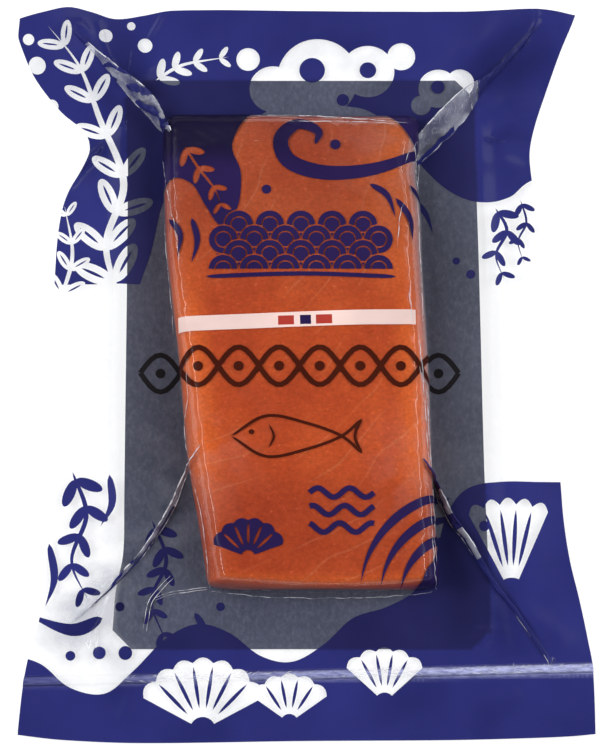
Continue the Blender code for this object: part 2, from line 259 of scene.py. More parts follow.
# Painted shade beside the folds: the film keeps its shape, and the materials darken it along these paths.
PAINTED_DIP_SHADES = [
    ([(66, -68), (70, -84), (74, -102)], 6.0, 0.7), ([(52, -56), (57, -74), (56, -98)], 6.5, 0.8),
    ([(46, -38), (49, -54), (53, -68)], 3.5, 0.6), ([(48, 88), (62, 108), (86, 128)], 4.5, 0.6),
    ([(66, 100), (78, 108), (92, 116)], 7.0, 0.7), ([(64, 80), (74, 84), (84, 82)], 3.0, 0.5),
    ([(-50, 84), (-62, 92), (-80, 108)], 4.5, 0.7), ([(-50, 98), (-62, 110), (-70, 128)], 7.0, 0.7),
    ([(-90, 116), (-82, 123), (-72, 127)], 4.0, 0.4), ([(-60, 80), (-72, 78), (-80, 66)], 4.0, 0.6),
    ([(-64, -74), (-74, -82), (-88, -86)], 3.0, 0.7), ([(-66, -78), (-74, -90), (-80, -102)], 2.6, 0.8),
    ([(-62, -76), (-64, -90), (-68, -104)], 2.4, 0.5), ([(-72, -92), (-84, -96), (-94, -96)], 3.0, 0.35),
    ([(-30, -131), (-28, -120), (-22, -113)], 4.0, 0.4), ([(30, 112), (10, 117), (-20, 116)], 6.0, 0.35),
    ([(60, -130), (66, -120), (80, -112)], 6.0, 0.4), ([(20, -128), (34, -119), (52, -112)], 5.0, 0.3),
    ([(-60, -71), (-68, -79), (-79, -90)], 1.4, 0.8), ([(-60, -73), (-66, -86), (-73, -101)], 1.6, 0.7),
    ([(-58, -70), (-72, -85), (-86, -97)], 6.5, 1.4), ([(-62, -80), (-61, -98), (-66, -120)], 6.5, 0.5),
]
FINE_CREASE = 1.15


def to_segment(x, y, a, b):
    """Where points lie along the line from a to b, from 0 to 1, and how far they are from it."""
    step = np.subtract(b, a)
    s = np.clip(((x - a[0]) * step[0] + (y - a[1]) * step[1]) / (step @ step), 0, 1)
    return s, np.hypot(x - a[0] - s * step[0], y - a[1] - s * step[1])


def ridge_height(x, y, path, width, height):
    """One crease: a soft ridge along a path, fading at both ends."""
    nearest = np.full(np.shape(x), 1e9)
    along = np.zeros(np.shape(x))
    count = len(path) - 1
    for i in range(count):
        s, gap = to_segment(x, y, path[i], path[i + 1])
        along = np.where(gap < nearest, (i + s) / count, along)
        nearest = np.minimum(gap, nearest)
    return height * np.exp(-(nearest / width) ** 2) * np.sin(math.pi * along) ** 0.7


def ridges(x, y, table):
    """All ridges of a table together."""
    return sum(ridge_height(x, y, *ridge) for ridge in table)


def painted_dip_shades(x, y):
    """Painted shade beside a fold, from 0 to 1.5, by which the materials darken the film; the film keeps
    its shape.
    """
    return np.clip(ridges(x, y, PAINTED_DIP_SHADES), 0, 1.5)


def shoulder_band(x, y):
    """1 on the fish's shoulders, fading to 0 on its flat top and beyond its foot."""
    return np.exp(-((salmon_inside(x, y) - 0.55) / 0.38) ** 2)


def wrinkles(x, y):
    """Fine wrinkles over the fish's shoulders."""
    return shoulder_band(x, y) * (0.15 * waves(x, y, 4.5, 11) + 0.24 * waves(x, y, 12.0, 12))


def slack(x, y):
    """Shallow waves of the loose flange, which die out at the board."""
    away = smooth_step(outside_board(x, y), 2, 14)
    return away * (0.35 + 0.30 * waves(x, y, 46.0, 21) + 0.12 * waves(x, y, 17.0, 22))


def film_front(x, y):
    """Upper film: tight over the fish and the board, then lying on the back film."""
    board = board_lift(x, y) + BOARD_THICKNESS + FILM_GAP
    flange = flange_mid(x, y) + FILM_GAP + slack(x, y) + bead_height(x, y)
    lower = board + (flange - board) * smooth_step(outside_board(x, y), 0, DRAPE)
    fish = salmon_height(x, y)
    fillet = 1.5 + 0.9 * np.sin(y * 0.19) * np.cos(y * 0.083 + x * 0.05)
    tight = np.where(fish > 0, smooth_max(lower, board + fish + wrinkles(x, y), fillet), lower)
    lowest = np.where(outside_board(x, y) < 0.4, board - 0.05, flange - 0.18)
    return np.maximum(tight + ridges(x, y, CREASES), lowest)


def film_back(x, y):
    """Lower film: flat under the board, then the back of the flange."""
    board = board_lift(x, y) + 0.05
    flange = flange_mid(x, y) + slack(x, y) - FILM_GAP
    return board + (flange - board) * smooth_step(outside_board(x, y), 0, DRAPE)


print("pack is", round(float(film_front(0.0, 0.0)), 1), "mm high in the middle")

# %% [markdown]
# ## Making sheets from a plan
#
# Print has crisp edges, and the export keeps an edge crisp only if it is an edge of the mesh. So the
# film is a triangulation of the plan that has every outline in it: the pouch, the feet of the fish's
# walls and each shape of ink. Blender's constrained Delaunay triangulation takes outlines and loose
# points together, and says which outlines each triangle lies in. The last outline painted wins.

# %% Plan helpers
def pouch_outline(step):
    """The rim of the pouch as a loop of points."""
    sides = np.arange(POUCH_BOTTOM, POUCH_TOP, step)
    left = [(float(pouch_left(y)), float(y)) for y in sides]
    right = [(float(pouch_right(y)), float(y)) for y in sides]
    shares = np.linspace(0, 1, int(200 / step))
    bottom, top = ([(pouch_left(y) * (1 - s) + pouch_right(y) * s, y) for s in shares]
                   for y in (POUCH_BOTTOM, POUCH_TOP))
    loop = bottom + right[1:] + top[::-1] + left[:0:-1]
    x, y = np.array(loop, float).T
    y = y + pouch_top_wave(x) * smooth_step(y, 110, POUCH_TOP)
    y = y + pouch_bottom_wave(x) * smooth_step(-y, 112, -POUCH_BOTTOM)
    return np.stack([x, y], 1)


def fish_loop(inside, step):
    """A loop round the fish where its wall has risen by the share inside; below 0 it lies outside."""
    reach = 1 - inside
    points = []
    turns = np.linspace(0, math.pi / 2, 9)
    for side, top in ((1, 0), (1, 1), (0, 1), (0, 0)):
        order = turns if side == top else turns[::-1]
        run = TOP_RUN if top else BOTTOM_RUN
        for turn in order:
            in_x = SIDE_RUN * (1 - reach * max(math.cos(turn), 0) ** 0.5)
            in_y = run * (1 - reach * max(math.sin(turn), 0) ** 0.5)
            x = salmon_right(0) - in_x if side else salmon_left(0) + in_x
            for _ in range(3):
                y = SALMON_TOP - in_y if top else salmon_bottom(x) + in_y
                x = salmon_right(y) - in_x if side else salmon_left(y) + in_x
            points.append((float(x), float(y)))
    loop = []
    for a, b in zip(points, points[1:] + points[:1]):
        pieces = max(1, int(math.dist(a, b) / step))
        for k in range(pieces):
            x, y = a[0] + (b[0] - a[0]) * k / pieces, a[1] + (b[1] - a[1]) * k / pieces
            if pieces > 3 and abs(b[1] - a[1]) > abs(b[0] - a[0]):
                edge = salmon_right(y) if x > 0 else salmon_left(y)
                near = salmon_right(a[1]) if x > 0 else salmon_left(a[1])
                x = float(edge + a[0] - near)
            loop.append((float(x), float(y)))
    return np.array(loop)


def board_loop(outside, step):
    """The board's outline, moved outwards."""
    corner = BOARD_CHAMFER + outside * (math.sqrt(2) - 2)
    low, high = BOARD_BOTTOM - outside, BOARD_TOP + outside
    rows = np.linspace(low + corner, high - corner, int(190 / step))
    right = [(float(board_right(y)) + outside, float(y)) for y in rows]
    left = [(float(board_left(y)) - outside, float(y)) for y in rows]
    across = np.linspace(0, 1, int(110 / step))
    bottom_left, bottom_right = left[0][0] + corner, right[0][0] - corner
    top_left, top_right = left[-1][0] + corner, right[-1][0] - corner
    bottom = [(bottom_left + (bottom_right - bottom_left) * s, low) for s in across]
    top = [(top_right + (top_left - top_right) * s, high) for s in across]
    return np.array(bottom + right + top + left[::-1])


def grid_points(spacing):
    """Loose points on a triangular grid over the whole pouch."""
    rows = np.arange(-134, 134, spacing * 0.866)
    points = []
    for j, y in enumerate(rows):
        xs = np.arange(-104, 104, spacing) + (spacing / 2 if j % 2 else 0)
        points += [(float(x), float(y)) for x in xs]
    return points


CREASE_STEP, CREASE_ROWS = 0.8, (-1.8, -1.2, -0.7, -0.3, 0, 0.3, 0.7, 1.2, 1.8)


def crease_points():
    """Extra points beside the narrow creases, so that the mesh can follow them."""
    points = []
    for path, width, _ in CREASES:
        if width > FINE_CREASE:
            continue
        for a, b in zip(path, path[1:]):
            length = math.dist(a, b)
            nx, ny = -(b[1] - a[1]) / length, (b[0] - a[0]) / length
            for k in range(int(length / CREASE_STEP)):
                s = k * CREASE_STEP / length
                for away in CREASE_ROWS:
                    points.append((a[0] + (b[0] - a[0]) * s + nx * away * width,
                                   a[1] + (b[1] - a[1]) * s + ny * away * width))
    return points


def triangulate(shapes, guides, loose, clearance):
    """Triangulate the first shape, with all outlines in it. Gives points, triangles and top shapes.

    An outline has to run anticlockwise for the triangulation to know its inside.
    """
    corners, faces, edges = [], [], []
    for shape in shapes:
        x, y = np.array(shape).T
        if x @ np.roll(y, -1) < y @ np.roll(x, -1):
            shape = shape[::-1]
        faces.append([len(corners) + i for i in range(len(shape))])
        corners += [tuple(p) for p in shape]
    for guide in guides:
        first = len(corners)
        corners += [tuple(p) for p in guide]
        edges += [(first + i, first + (i + 1) % len(guide)) for i in range(len(guide))]
    tree = kdtree.KDTree(len(corners))
    for i, (x, y) in enumerate(corners):
        tree.insert((x, y, 0), i)
    tree.balance()
    corners += [p for p in loose if tree.find((p[0], p[1], 0))[2] > clearance]
    found = delaunay_2d_cdt([Vector(p) for p in corners], edges, faces, 1, 1e-5, True)
    points = np.array([(p.x, p.y) for p in found[0]])
    triangles, tops = [], []
    for triangle, owners in zip(found[2], found[5]):
        if 0 in owners:
            triangles.append(tuple(triangle))
            tops.append(max(owners))
    return points, np.array(triangles), np.array(tops)


rim = pouch_outline(1.5)
print("rim points:", len(rim))

# %% [markdown]
# ## The print
#
# The pouch carries two dark blue printed fields with clear windows in them, a pale strip with three
# small blocks, and a dark ornament across the middle. The design here is a plain sea pattern: foam,
# weed, shells and waves, drawn from circles, ribbons and fans. Each entry names an ink and an
# outline, and later entries cover earlier ones, as layers of ink and gaps do.

# %% Shapes to draw with
def disc(cx, cy, rx, ry=None, turn=0.0, count=None):
    """A circle or an ellipse."""
    ry = rx if ry is None else ry
    count = count or max(16, int(6 * max(rx, ry) ** 0.5) * 4)
    angles = np.linspace(0, 2 * math.pi, count, endpoint=False)
    c, s = math.cos(math.radians(turn)), math.sin(math.radians(turn))
    x, y = rx * np.cos(angles), ry * np.sin(angles)
    return np.stack([cx + x * c - y * s, cy + x * s + y * c], 1)


def ribbon(path, width, tip="point", steps=None):
    """A band of ink along a smooth path. Its ends are points, round or flat, or it is a blade."""
    t = np.linspace(0, 1, (steps or max(10, int(path_length(path) / 1.6))) + 1)
    x, y = (curve(t * (len(path) - 1)) for curve in path_curves(path))
    dx, dy = np.gradient(x), np.gradient(y)
    length = np.hypot(dx, dy)
    arch = np.sin(math.pi * t)
    blade = np.maximum(1 - t ** 1.8, 0) ** 0.8 * (0.55 + 0.45 * arch) * (1 - (1 - t) ** 14) ** 0.5
    half = {"point": arch ** 0.6, "round": (1 - np.abs(2 * t - 1) ** 12) ** 0.5,
            "flat": np.ones(len(t)), "blade": blade}[tip] * width / 2
    left = np.stack([x - dy / length * half, y + dx / length * half], 1)
    right = np.stack([x + dy / length * half, y - dx / length * half], 1)
    loop = np.concatenate([right, left[::-1]])
    keep = [0]
    for i in range(1, len(loop)):
        if np.hypot(*(loop[i] - loop[keep[-1]])) > 0.05:
            keep.append(i)
    if np.hypot(*(loop[keep[-1]] - loop[0])) <= 0.05:
        keep.pop()
    return loop[keep]


def frond(path, pairs, length, ink, rib=None):
    """A weed frond: a stem with pairs of leaves that grow smaller, as a list of layers."""
    curves = path_curves(path)
    layers = [(ink, ribbon(path, length * 0.2, "blade"))]
    for k in range(pairs):
        t = (0.06 + 0.84 * k / max(1, pairs - 1)) * (len(path) - 1)
        here, ahead = (np.array([curve(at) for curve in curves]) for at in (t, t + 0.02))
        ahead = ahead - here
        lean = math.atan2(ahead[1], ahead[0])
        size = length * (1 - 0.45 * k / pairs)
        for side in (-1, 1):
            turn = lean + side * math.radians(46)
            out = np.array([math.cos(turn), math.sin(turn)])
            middle = here + size * 0.52 * out
            layers.append((ink, disc(*middle, size * 0.5, size * 0.2, math.degrees(turn), count=22)))
            if rib:
                foot, tip = here + size * 0.25 * out, here + size * 0.85 * out
                vein = ribbon([foot, (foot + tip) / 2, tip], size * 0.07, steps=6)
                layers.append((rib, vein))
    return layers


def fan(cx, cy, radius, start, end, lobes, foot=0.18):
    """A shell: a fan whose rim is a row of lobes."""
    angles = np.radians(np.linspace(start, end, lobes * 6 + 1))
    phase = np.linspace(0, lobes * math.pi, lobes * 6 + 1)
    rim_radius = radius * (0.93 + 0.07 * np.abs(np.sin(phase)))
    outer = np.stack([cx + rim_radius * np.cos(angles), cy + rim_radius * np.sin(angles)], 1)
    inner = [(cx + radius * foot * math.cos(a), cy + radius * foot * math.sin(a)) for a in angles[::-6]]
    return np.concatenate([outer, inner])


def wavy(x0, x1, y, height, length, width, shift=0.0):
    """A wavy line of even width."""
    x = np.linspace(x0, x1, max(8, int(abs(x1 - x0) / length * 16)))
    y = y + height * np.sin(2 * math.pi * (x - x0) / length + shift)
    dx, dy = np.gradient(x), np.gradient(y)
    size = np.hypot(dx, dy) / (width / 2)
    upper = np.stack([x - dy / size, y + dx / size], 1)
    lower = np.stack([x + dy / size, y - dx / size], 1)
    return np.concatenate([lower, upper[::-1]])


# %% [markdown]
# A printed field has a smooth outline that runs on beyond the pouch, where the pouch's own rim cuts
# it, as a pouch is cut from printed film. Bubbles and fronds are then laid on it as gaps in the ink.

# %% The upper printed field
UPPER_FIELD = [(-112, 140), (-112, 29.5), (-57, 29.5), (-53, 42), (-49.5, 58), (-45, 64), (-38, 62),
               (-33, 54), (-27.5, 47), (-22, 54), (-21, 66), (-24, 76), (-18, 88), (-8, 95), (4, 97),
               (14, 95), (24, 93), (33, 86), (42, 74), (52, 64), (63, 59), (74, 61), (84, 68), (112, 74),
               (112, 140)]


def smooth_loop(points, start, end, step=1.5):
    """The same loop with its corners between two indexes rounded into a smooth line."""
    part = points[start:end]
    t = np.linspace(0, len(part) - 1, int(path_length(part) / step))
    smooth = np.stack([curve(t) for curve in path_curves(part)], 1)
    return np.array(points[:start] + [tuple(p) for p in smooth] + points[end:], float)


def upper_print():
    """Foam and weed round the top of the pouch."""
    layers = [("navy", smooth_loop(UPPER_FIELD, 2, 24))]
    foam = [(6, 105, 14.5), (24, 107.5, 9.5), (-10, 101, 8.5), (36, 113, 5), (-19, 112, 4.2), (49, 101, 7),
            (57, 103, 5), (43, 95, 3.6)]
    layers += [("clear", disc(*bubble)) for bubble in foam]
    layers += [("navy", disc(4, 108, 4.6)), ("navy", disc(24, 108, 3)), ("navy", disc(15, 97, 2.2)),
               ("navy", disc(49, 101.5, 2.4))]
    tall = [(-64, 24), (-69, 44), (-63, 66), (-72, 90), (-79, 108), (-90, 122)]
    layers += frond(tall, 8, 15.5, "clear", "navy")
    layers += frond([(-85, 24), (-81, 40), (-84, 58)], 4, 9, "clear", "navy")
    layers += frond([(-52, 104), (-42, 110), (-26, 113)], 4, 7.5, "clear")
    layers += frond([(-41, 76), (-36, 68), (-30, 60), (-27.5, 53)], 4, 6.5, "clear")
    drops = [(-94, 108, 3), (-97, 117, 2), (-70, 120, 2.4), (-56, 117, 2.6), (-61, 124, 1.5),
             (-89, 94, 2.4)]
    layers += [("clear", disc(*drop)) for drop in drops]
    layers += frond([(69, 57), (73, 49), (69, 40), (72, 31)], 4, 7.5, "navy")
    layers += frond([(78, 60), (80, 52), (77, 45), (79, 37)], 4, 5, "navy")
    crest = [(47, 80), (38, 72), (24, 67), (8, 66), (-4, 70), (-7, 78), (-1, 84), (6, 81), (5, 76)]
    layers.append(("navy", ribbon(crest, 5.4, "point")))
    strokes = [[(38, 62), (44, 56), (47, 48)], [(-46, 50), (-42, 44), (-43, 36)],
               [(-38, 50), (-36, 42), (-38, 34)], [(-30, 40), (-27, 35), (-28, 30)],
               [(33, 57), (38, 50), (39, 42)], [(24, 62), (30, 58), (33, 50)]]
    layers += [("navy", ribbon(stroke, 2.6, "blade")) for stroke in strokes]
    dots = ((-12, 60, 1.6), (12, 76, 1.8), (55, 38, 1.3), (60, 33, 1.6))
    layers += [("navy", disc(*dot)) for dot in dots]
    return layers


def scale_panel():
    """Rows of fish scales, each over the one above, as old wave patterns have them."""
    layers = []
    for row in range(4):
        y = 47.5 - row * 5.2
        for k in range(6 if row % 2 else 5):
            x = (-27 if row % 2 else -21.6) + k * 10.8
            for ink, radius in (("clear", 5.4), ("navy", 4.9), ("clear", 3.0), ("navy", 2.5)):
                layers.append((ink, disc(x, y, radius, count=28)))
    layers.append(("clear", np.array([(-34, 31.9), (-34, 20), (34, 20), (34, 31.9)])))
    layers.append(("navy", ribbon([(-33, 29.2), (0, 30.2), (33, 29.2)], 1.5, "round")))
    return layers


# %% [markdown]
# Across the middle, over the fish, the printer puts what has to be read: a pale strip and a
# near-black ornament. Both are ribbons of even width, so the strip keeps its slight slant.

# %% The strip, the ornament and the lower printed field
LOWER_FIELD = [(-112, -100), (-100, -101), (-90, -104), (-80, -112), (-68, -114), (-58, -106),
               (-47, -95), (-36, -90), (-25, -93), (-14, -101), (-3, -103), (8, -97), (18, -88),
               (30, -84), (40, -78), (47, -66), (51, -52), (58, -43), (70, -40.5), (84, -40.5),
               (112, -40.5), (112, -150), (-112, -150)]


def middle_print():
    """The pale strip with its blocks, a chain of waves and a small fish."""
    strip = [(-42.6, 12.6), (-20, 13.4), (0, 14.2), (20, 14.9), (39.8, 15.1)]
    layers = [("white", ribbon(strip, 5.2, "flat"))]
    for ink, x0, x1 in (("red", -7.9, -2.4), ("navy_block", -0.3, 3.5), ("red", 5.2, 10.8)):
        layers.append((ink, ribbon([(x0, 14 + x0 * 0.03), (x1, 14 + x1 * 0.03)], 3.2, "flat", steps=2)))
    for shift in (0.0, math.pi):
        layers.append(("dark", wavy(-56.5, 55.5, -2.1, 6.6, 28, 1.8, shift)))
    for k in range(8):
        layers.append(("dark", disc(-49.5 + 14 * k, -2.1, 1.7)))
    nose, tail = (-24, -26.5), (14, -26.5)
    back = [nose, (-12, -19.5), (2, -22), tail, (21, -32.5)]
    belly = [nose, (-12, -33.5), (2, -31), tail, (21, -20.5)]
    layers += [("dark", ribbon(line, 1.0, "round")) for line in (back, belly)]
    layers += [("dark", ribbon([(21, -20.3), (18.6, -26.5), (21, -32.7)], 1.0, "round")),
               ("dark", disc(-17, -25, 0.9)),
               ("dark", ribbon([(-11, -22.4), (-9.3, -26.5), (-11, -30.6)], 0.8))]
    return layers


def shell(cx, cy, radius, start, end, lobes, ink, gap_ink, rib):
    """A fan with ribs of the other ink between its lobes."""
    layers = [(ink, fan(cx, cy, radius, start, end, lobes))]
    for k in range(1, lobes):
        a = math.radians(start + (end - start) * k / lobes)
        line = [(cx + radius * r * math.cos(a), cy + radius * r * math.sin(a)) for r in (0.3, 0.88)]
        layers.append((gap_ink, ribbon(line, rib, steps=8)))
    return layers


def lower_print():
    """Waves, weed and shells round the bottom of the pouch."""
    layers = [("navy", smooth_loop(LOWER_FIELD, 0, 20))]
    for fan_and_inks in ((73.5, -80, 34, 66, 118, 5, "clear", "navy", 1.5),
                         (-34, -126.5, 25, 28, 152, 7, "clear", "navy", 1.3),
                         (-4, -124, 17, 35, 145, 5, "clear", "navy", 1.1),
                         (29, -117, 19, 42, 138, 5, "clear", "navy", 1.1),
                         (-18, -68, 13.5, 20, 160, 6, "navy", "clear", 1.0)):
        layers += shell(*fan_and_inks)
    layers += frond([(-80, -37), (-75, -52), (-80, -68), (-74, -82)], 5, 10, "navy")
    layers += [("navy", ribbon(line, 3.4, "blade"))
               for line in ([(-67, -38), (-66, -48), (-70, -56)], [(-88, -62), (-86, -74), (-89, -84)])]
    layers += frond([(-52, -54), (-47, -68), (-52, -82), (-46, -98)], 6, 8, "navy")
    layers += [("navy", ribbon([(-69, -88), (-80, -92), (-97, -86)], 5.5, "blade")),
               ("navy", ribbon([(-37, -86), (-34, -92), (-37, -99)], 3, "blade"))]
    dots = ((-63, -84, 1.6), (-70, -100, 2.2), (-80, -101, 1.7), (-61, -100, 2.4), (-28, -84, 1.5),
            (64, -56, 1.8), (58, -66, 1.5))
    layers += [("navy", disc(*dot)) for dot in dots]
    for k in range(3):
        layers.append(("navy", wavy(3, 25, -46 - 6 * k, 1.6, 11, 1.9, k)))
    for radius in (15, 22, 29, 36):
        angles = np.radians(np.linspace(96, 172, 7))
        arc = [(56 + radius * math.cos(a), -82 + radius * math.sin(a)) for a in angles]
        layers.append(("navy", ribbon(arc, 3.8, "blade")))
    return layers


PRINT = upper_print() + scale_panel() + middle_print() + lower_print()
inks = [ink for ink, _ in PRINT]
print("print:", len(PRINT), "shapes,", inks.count("navy"), "of them navy")

# %% [markdown]
# ## Meshes from plans
#
# A sheet is one height function over the plan. Its normals come from the slope of that function, not
# from the triangles, so neighbouring inks meet without a seam in the gloss. Six numbers go with each
# point for the materials: what lies behind the film, with a painted shade over the fish's upper end
# (backing_and_end_shade); how steeply it is pulled over the fish, with a painted glare on its right
# wall (stretch_and_glare); how much loose film leans, which gives painted shade on slopes (lean);
# painted shade beside the folds (painted_dip_shade); where it gathers into a fold, which gives patches
# of painted shade (crinkle_shade); and where the seal has frosted it (bead).

# %% Mesh helpers
GATHERS = [[(34, 72), (44, 78), (56, 92), (66, 105), (83, 126)],
           [(-47, 84), (-56, 96), (-66, 104), (-82, 121)],
           [(-36, -31), (-46, -52), (-60, -72), (-76, -88)],
           [(43, -36), (52, -54), (66, -76), (84, -102)]]
GATHER_REACH = 12
BEAD_GUARD = 2.6


def crinkle_shade_mask(x, y):
    """Where patches of painted shade go: 1 where the film gathers into a corner fold, fading away from it;
    a little at both ends.
    """
    share = 0.3 * smooth_step(np.abs(y), 88, 104)
    for path in GATHERS:
        for a, b in zip(path, path[1:]):
            _, gap = to_segment(x, y, a, b)
            share = np.maximum(share, np.exp(-0.5 * (gap / GATHER_REACH) ** 2))
    return share * (0.25 + 0.75 * smooth_step(outside_board(x, y), -3, 3))


def mesh_piece(name, points, faces, material, smooth=True):
    """A named mesh object from millimetres."""
    mesh = bpy.data.meshes.new(name)
    mesh.from_pydata([tuple(p * MM for p in point) for point in points], [], [tuple(f) for f in faces])
    mesh.materials.append(material)
    mesh.validate()
    if smooth:
        mesh.shade_smooth()
    piece = bpy.data.objects.new(name, mesh)
    bpy.context.scene.collection.objects.link(piece)
    return piece


def slope_normals(height, x, y, step=0.12):
    """Normals of a height function."""
    dx = (height(x + step, y) - height(x - step, y)) / (2 * step)
    dy = (height(x, y + step) - height(x, y - step)) / (2 * step)
    normals = np.stack([-dx, -dy, np.ones(len(x))], 1)
    return normals / np.linalg.norm(normals, axis=1)[:, None]


def add_number(piece, name, values):
    """Store one number for each point."""
    values = np.asarray(values, dtype=np.float32)
    assert np.isfinite(values).all(), (piece.name, name)
    layer = piece.data.attributes.new(name, "FLOAT", "POINT")
    layer.data.foreach_set("value", values)


def used_part(points, triangles, up=1):
    """Only the points that some triangles use, and those triangles turned to face up or down."""
    used, faces = np.unique(triangles, return_inverse=True)
    points, faces = points[used], faces.reshape(-1, 3)
    a, b, c = (points[faces[:, k]] for k in range(3))
    turn = (b[:, 0] - a[:, 0]) * (c[:, 1] - a[:, 1]) - (b[:, 1] - a[:, 1]) * (c[:, 0] - a[:, 0])
    return points, np.where((turn * up > 0)[:, None], faces, faces[:, ::-1])


def sheet_piece(name, height, points, triangles, material, up=1):
    """Part of a film, with the six numbers that its material reads."""
    points, faces = used_part(points, triangles, up)
    x, y = points.T
    piece = mesh_piece(name, np.stack([x, y, height(x, y)], 1), faces.tolist(), material)
    normals = slope_normals(height, x, y) * up
    piece.data.normals_split_custom_set_from_vertices(normals.tolist())
    beyond, from_bead = outside_board(x, y), y - BEAD_Y - BEAD_SLOPE * x
    on_fish = smooth_step(salmon_inside(x, y), 0.0, 0.04)
    # Painted shade: the fish's upper left end, where the ink is darkened.
    shaded_end = smooth_step(y, 66, 77) * smooth_step(-x, -4, 20) * on_fish
    upright = np.abs(normals[:, 2])
    slope = np.hypot(normals[:, 0], normals[:, 1]) / np.maximum(upright, 0.2)
    off_bead = 1 - np.exp(-(from_bead / BEAD_GUARD) ** 4)
    loose = smooth_step(beyond, -2, 1) if material == clear_film else 1
    # Painted glare: the film on the fish's right wall turns milkier.
    right_wall_glare = 0.5 + 2.25 * smooth_step(x, 20, 40)
    lower_end = (0.15 + 0.85 * smooth_step(y, -48, 4)) * smooth_step(y, -84, -60)
    side = np.where(from_bead > 0, 0.4, 0.62)
    numbers = {
        "backing_and_end_shade": 1 - smooth_step(beyond, -0.2, 0.3) + on_fish + shaded_end,
        # Painted shade: loose film that leans turns milky grey.
        "lean": np.clip(slope - 0.05, 0, 1) * smooth_step(beyond, 2.5, 6) * off_bead,
        # Painted shade beside the folds.
        "painted_dip_shade": painted_dip_shades(x, y) * loose,
        "stretch_and_glare": np.clip(1 / np.maximum(upright, 0.05) - 1, 0, 4) * off_bead * right_wall_glare * lower_end,
        "crinkle_shade": crinkle_shade_mask(x, y),
        "bead": np.exp(-(from_bead / BEAD_WIDTH / side) ** 4) * np.where(from_bead > 0, 1.0, 0.9),
    }
    for number, values in numbers.items():
        add_number(piece, number, values)
    print(name, len(faces), "triangles")
    return piece


# %% [markdown]
# ## Colour and node helpers
#
# Colours are written as the sRGB codes that a picture editor shows, and one function turns them to
# Blender's linear numbers. One more function adds a node with its settings and its inputs.

# %% Material helpers
def linear(code):
    """sRGB hex to linear RGBA."""
    parts = [int(code[i:i + 2], 16) / 255 for i in (1, 3, 5)]
    return [c / 12.92 if c <= 0.04045 else ((c + 0.055) / 1.055) ** 2.4 for c in parts] + [1.0]


def add(tree, kind, inputs=None, **settings):
    """Add a node: settings on it, and for an input a value, a socket or a node (its first output)."""
    node = tree.nodes.new(kind)
    for key, value in settings.items():
        setattr(node, key, value)
    for key, source in (inputs or {}).items():
        if isinstance(source, bpy.types.Node):
            source = source.outputs[0]
        if isinstance(source, bpy.types.NodeSocket):
            tree.links.new(source, node.inputs[key])
        else:
            node.inputs[key].default_value = source
    return node


def new_material(name):
    """An empty material, its tree and the Object coordinates that its patterns lie in."""
    material = bpy.data.materials.new(name)
    material.use_nodes = True
    tree = material.node_tree
    tree.nodes.clear()
    return material, tree, add(tree, "ShaderNodeTexCoord").outputs["Object"]


def ramp(tree, factor, stops):
    """A colour ramp from (position, colour) stops."""
    node = add(tree, "ShaderNodeValToRGB", {"Fac": factor})
    bands = node.color_ramp.elements
    while len(bands) < len(stops):
        bands.new(0.5)
    for band, (position, colour) in zip(bands, stops):
        band.position = position
        band.color = colour
    return node.outputs["Color"]


def grey(value):
    """A grey of one linear value."""
    return [value, value, value, 1.0]


# %% [markdown]
# ## Clear film
#
# The pouch is a laminate of polyamide and polyethylene, about 0.1 mm thick, cast and then drawn down
# by the vacuum. It lets nearly all light through and mirrors a little, more at a glancing angle, so
# it is a Transparent shader mixed with a Glossy one. A Fresnel node would mirror too much where
# light leaves the film from behind, because it takes the sheet for the side of a thick block, so the
# share comes from Layer Weight, which treats both sides alike. Film that is pulled over an edge
# turns a little milky, as stretched film whitens, and on the fish's right wall this is raised into a
# painted glare. Leaning film, film beside the folds and film where it gathers into folds get a share
# of milky grey Diffuse as painted shade. The stored numbers give all these shares.

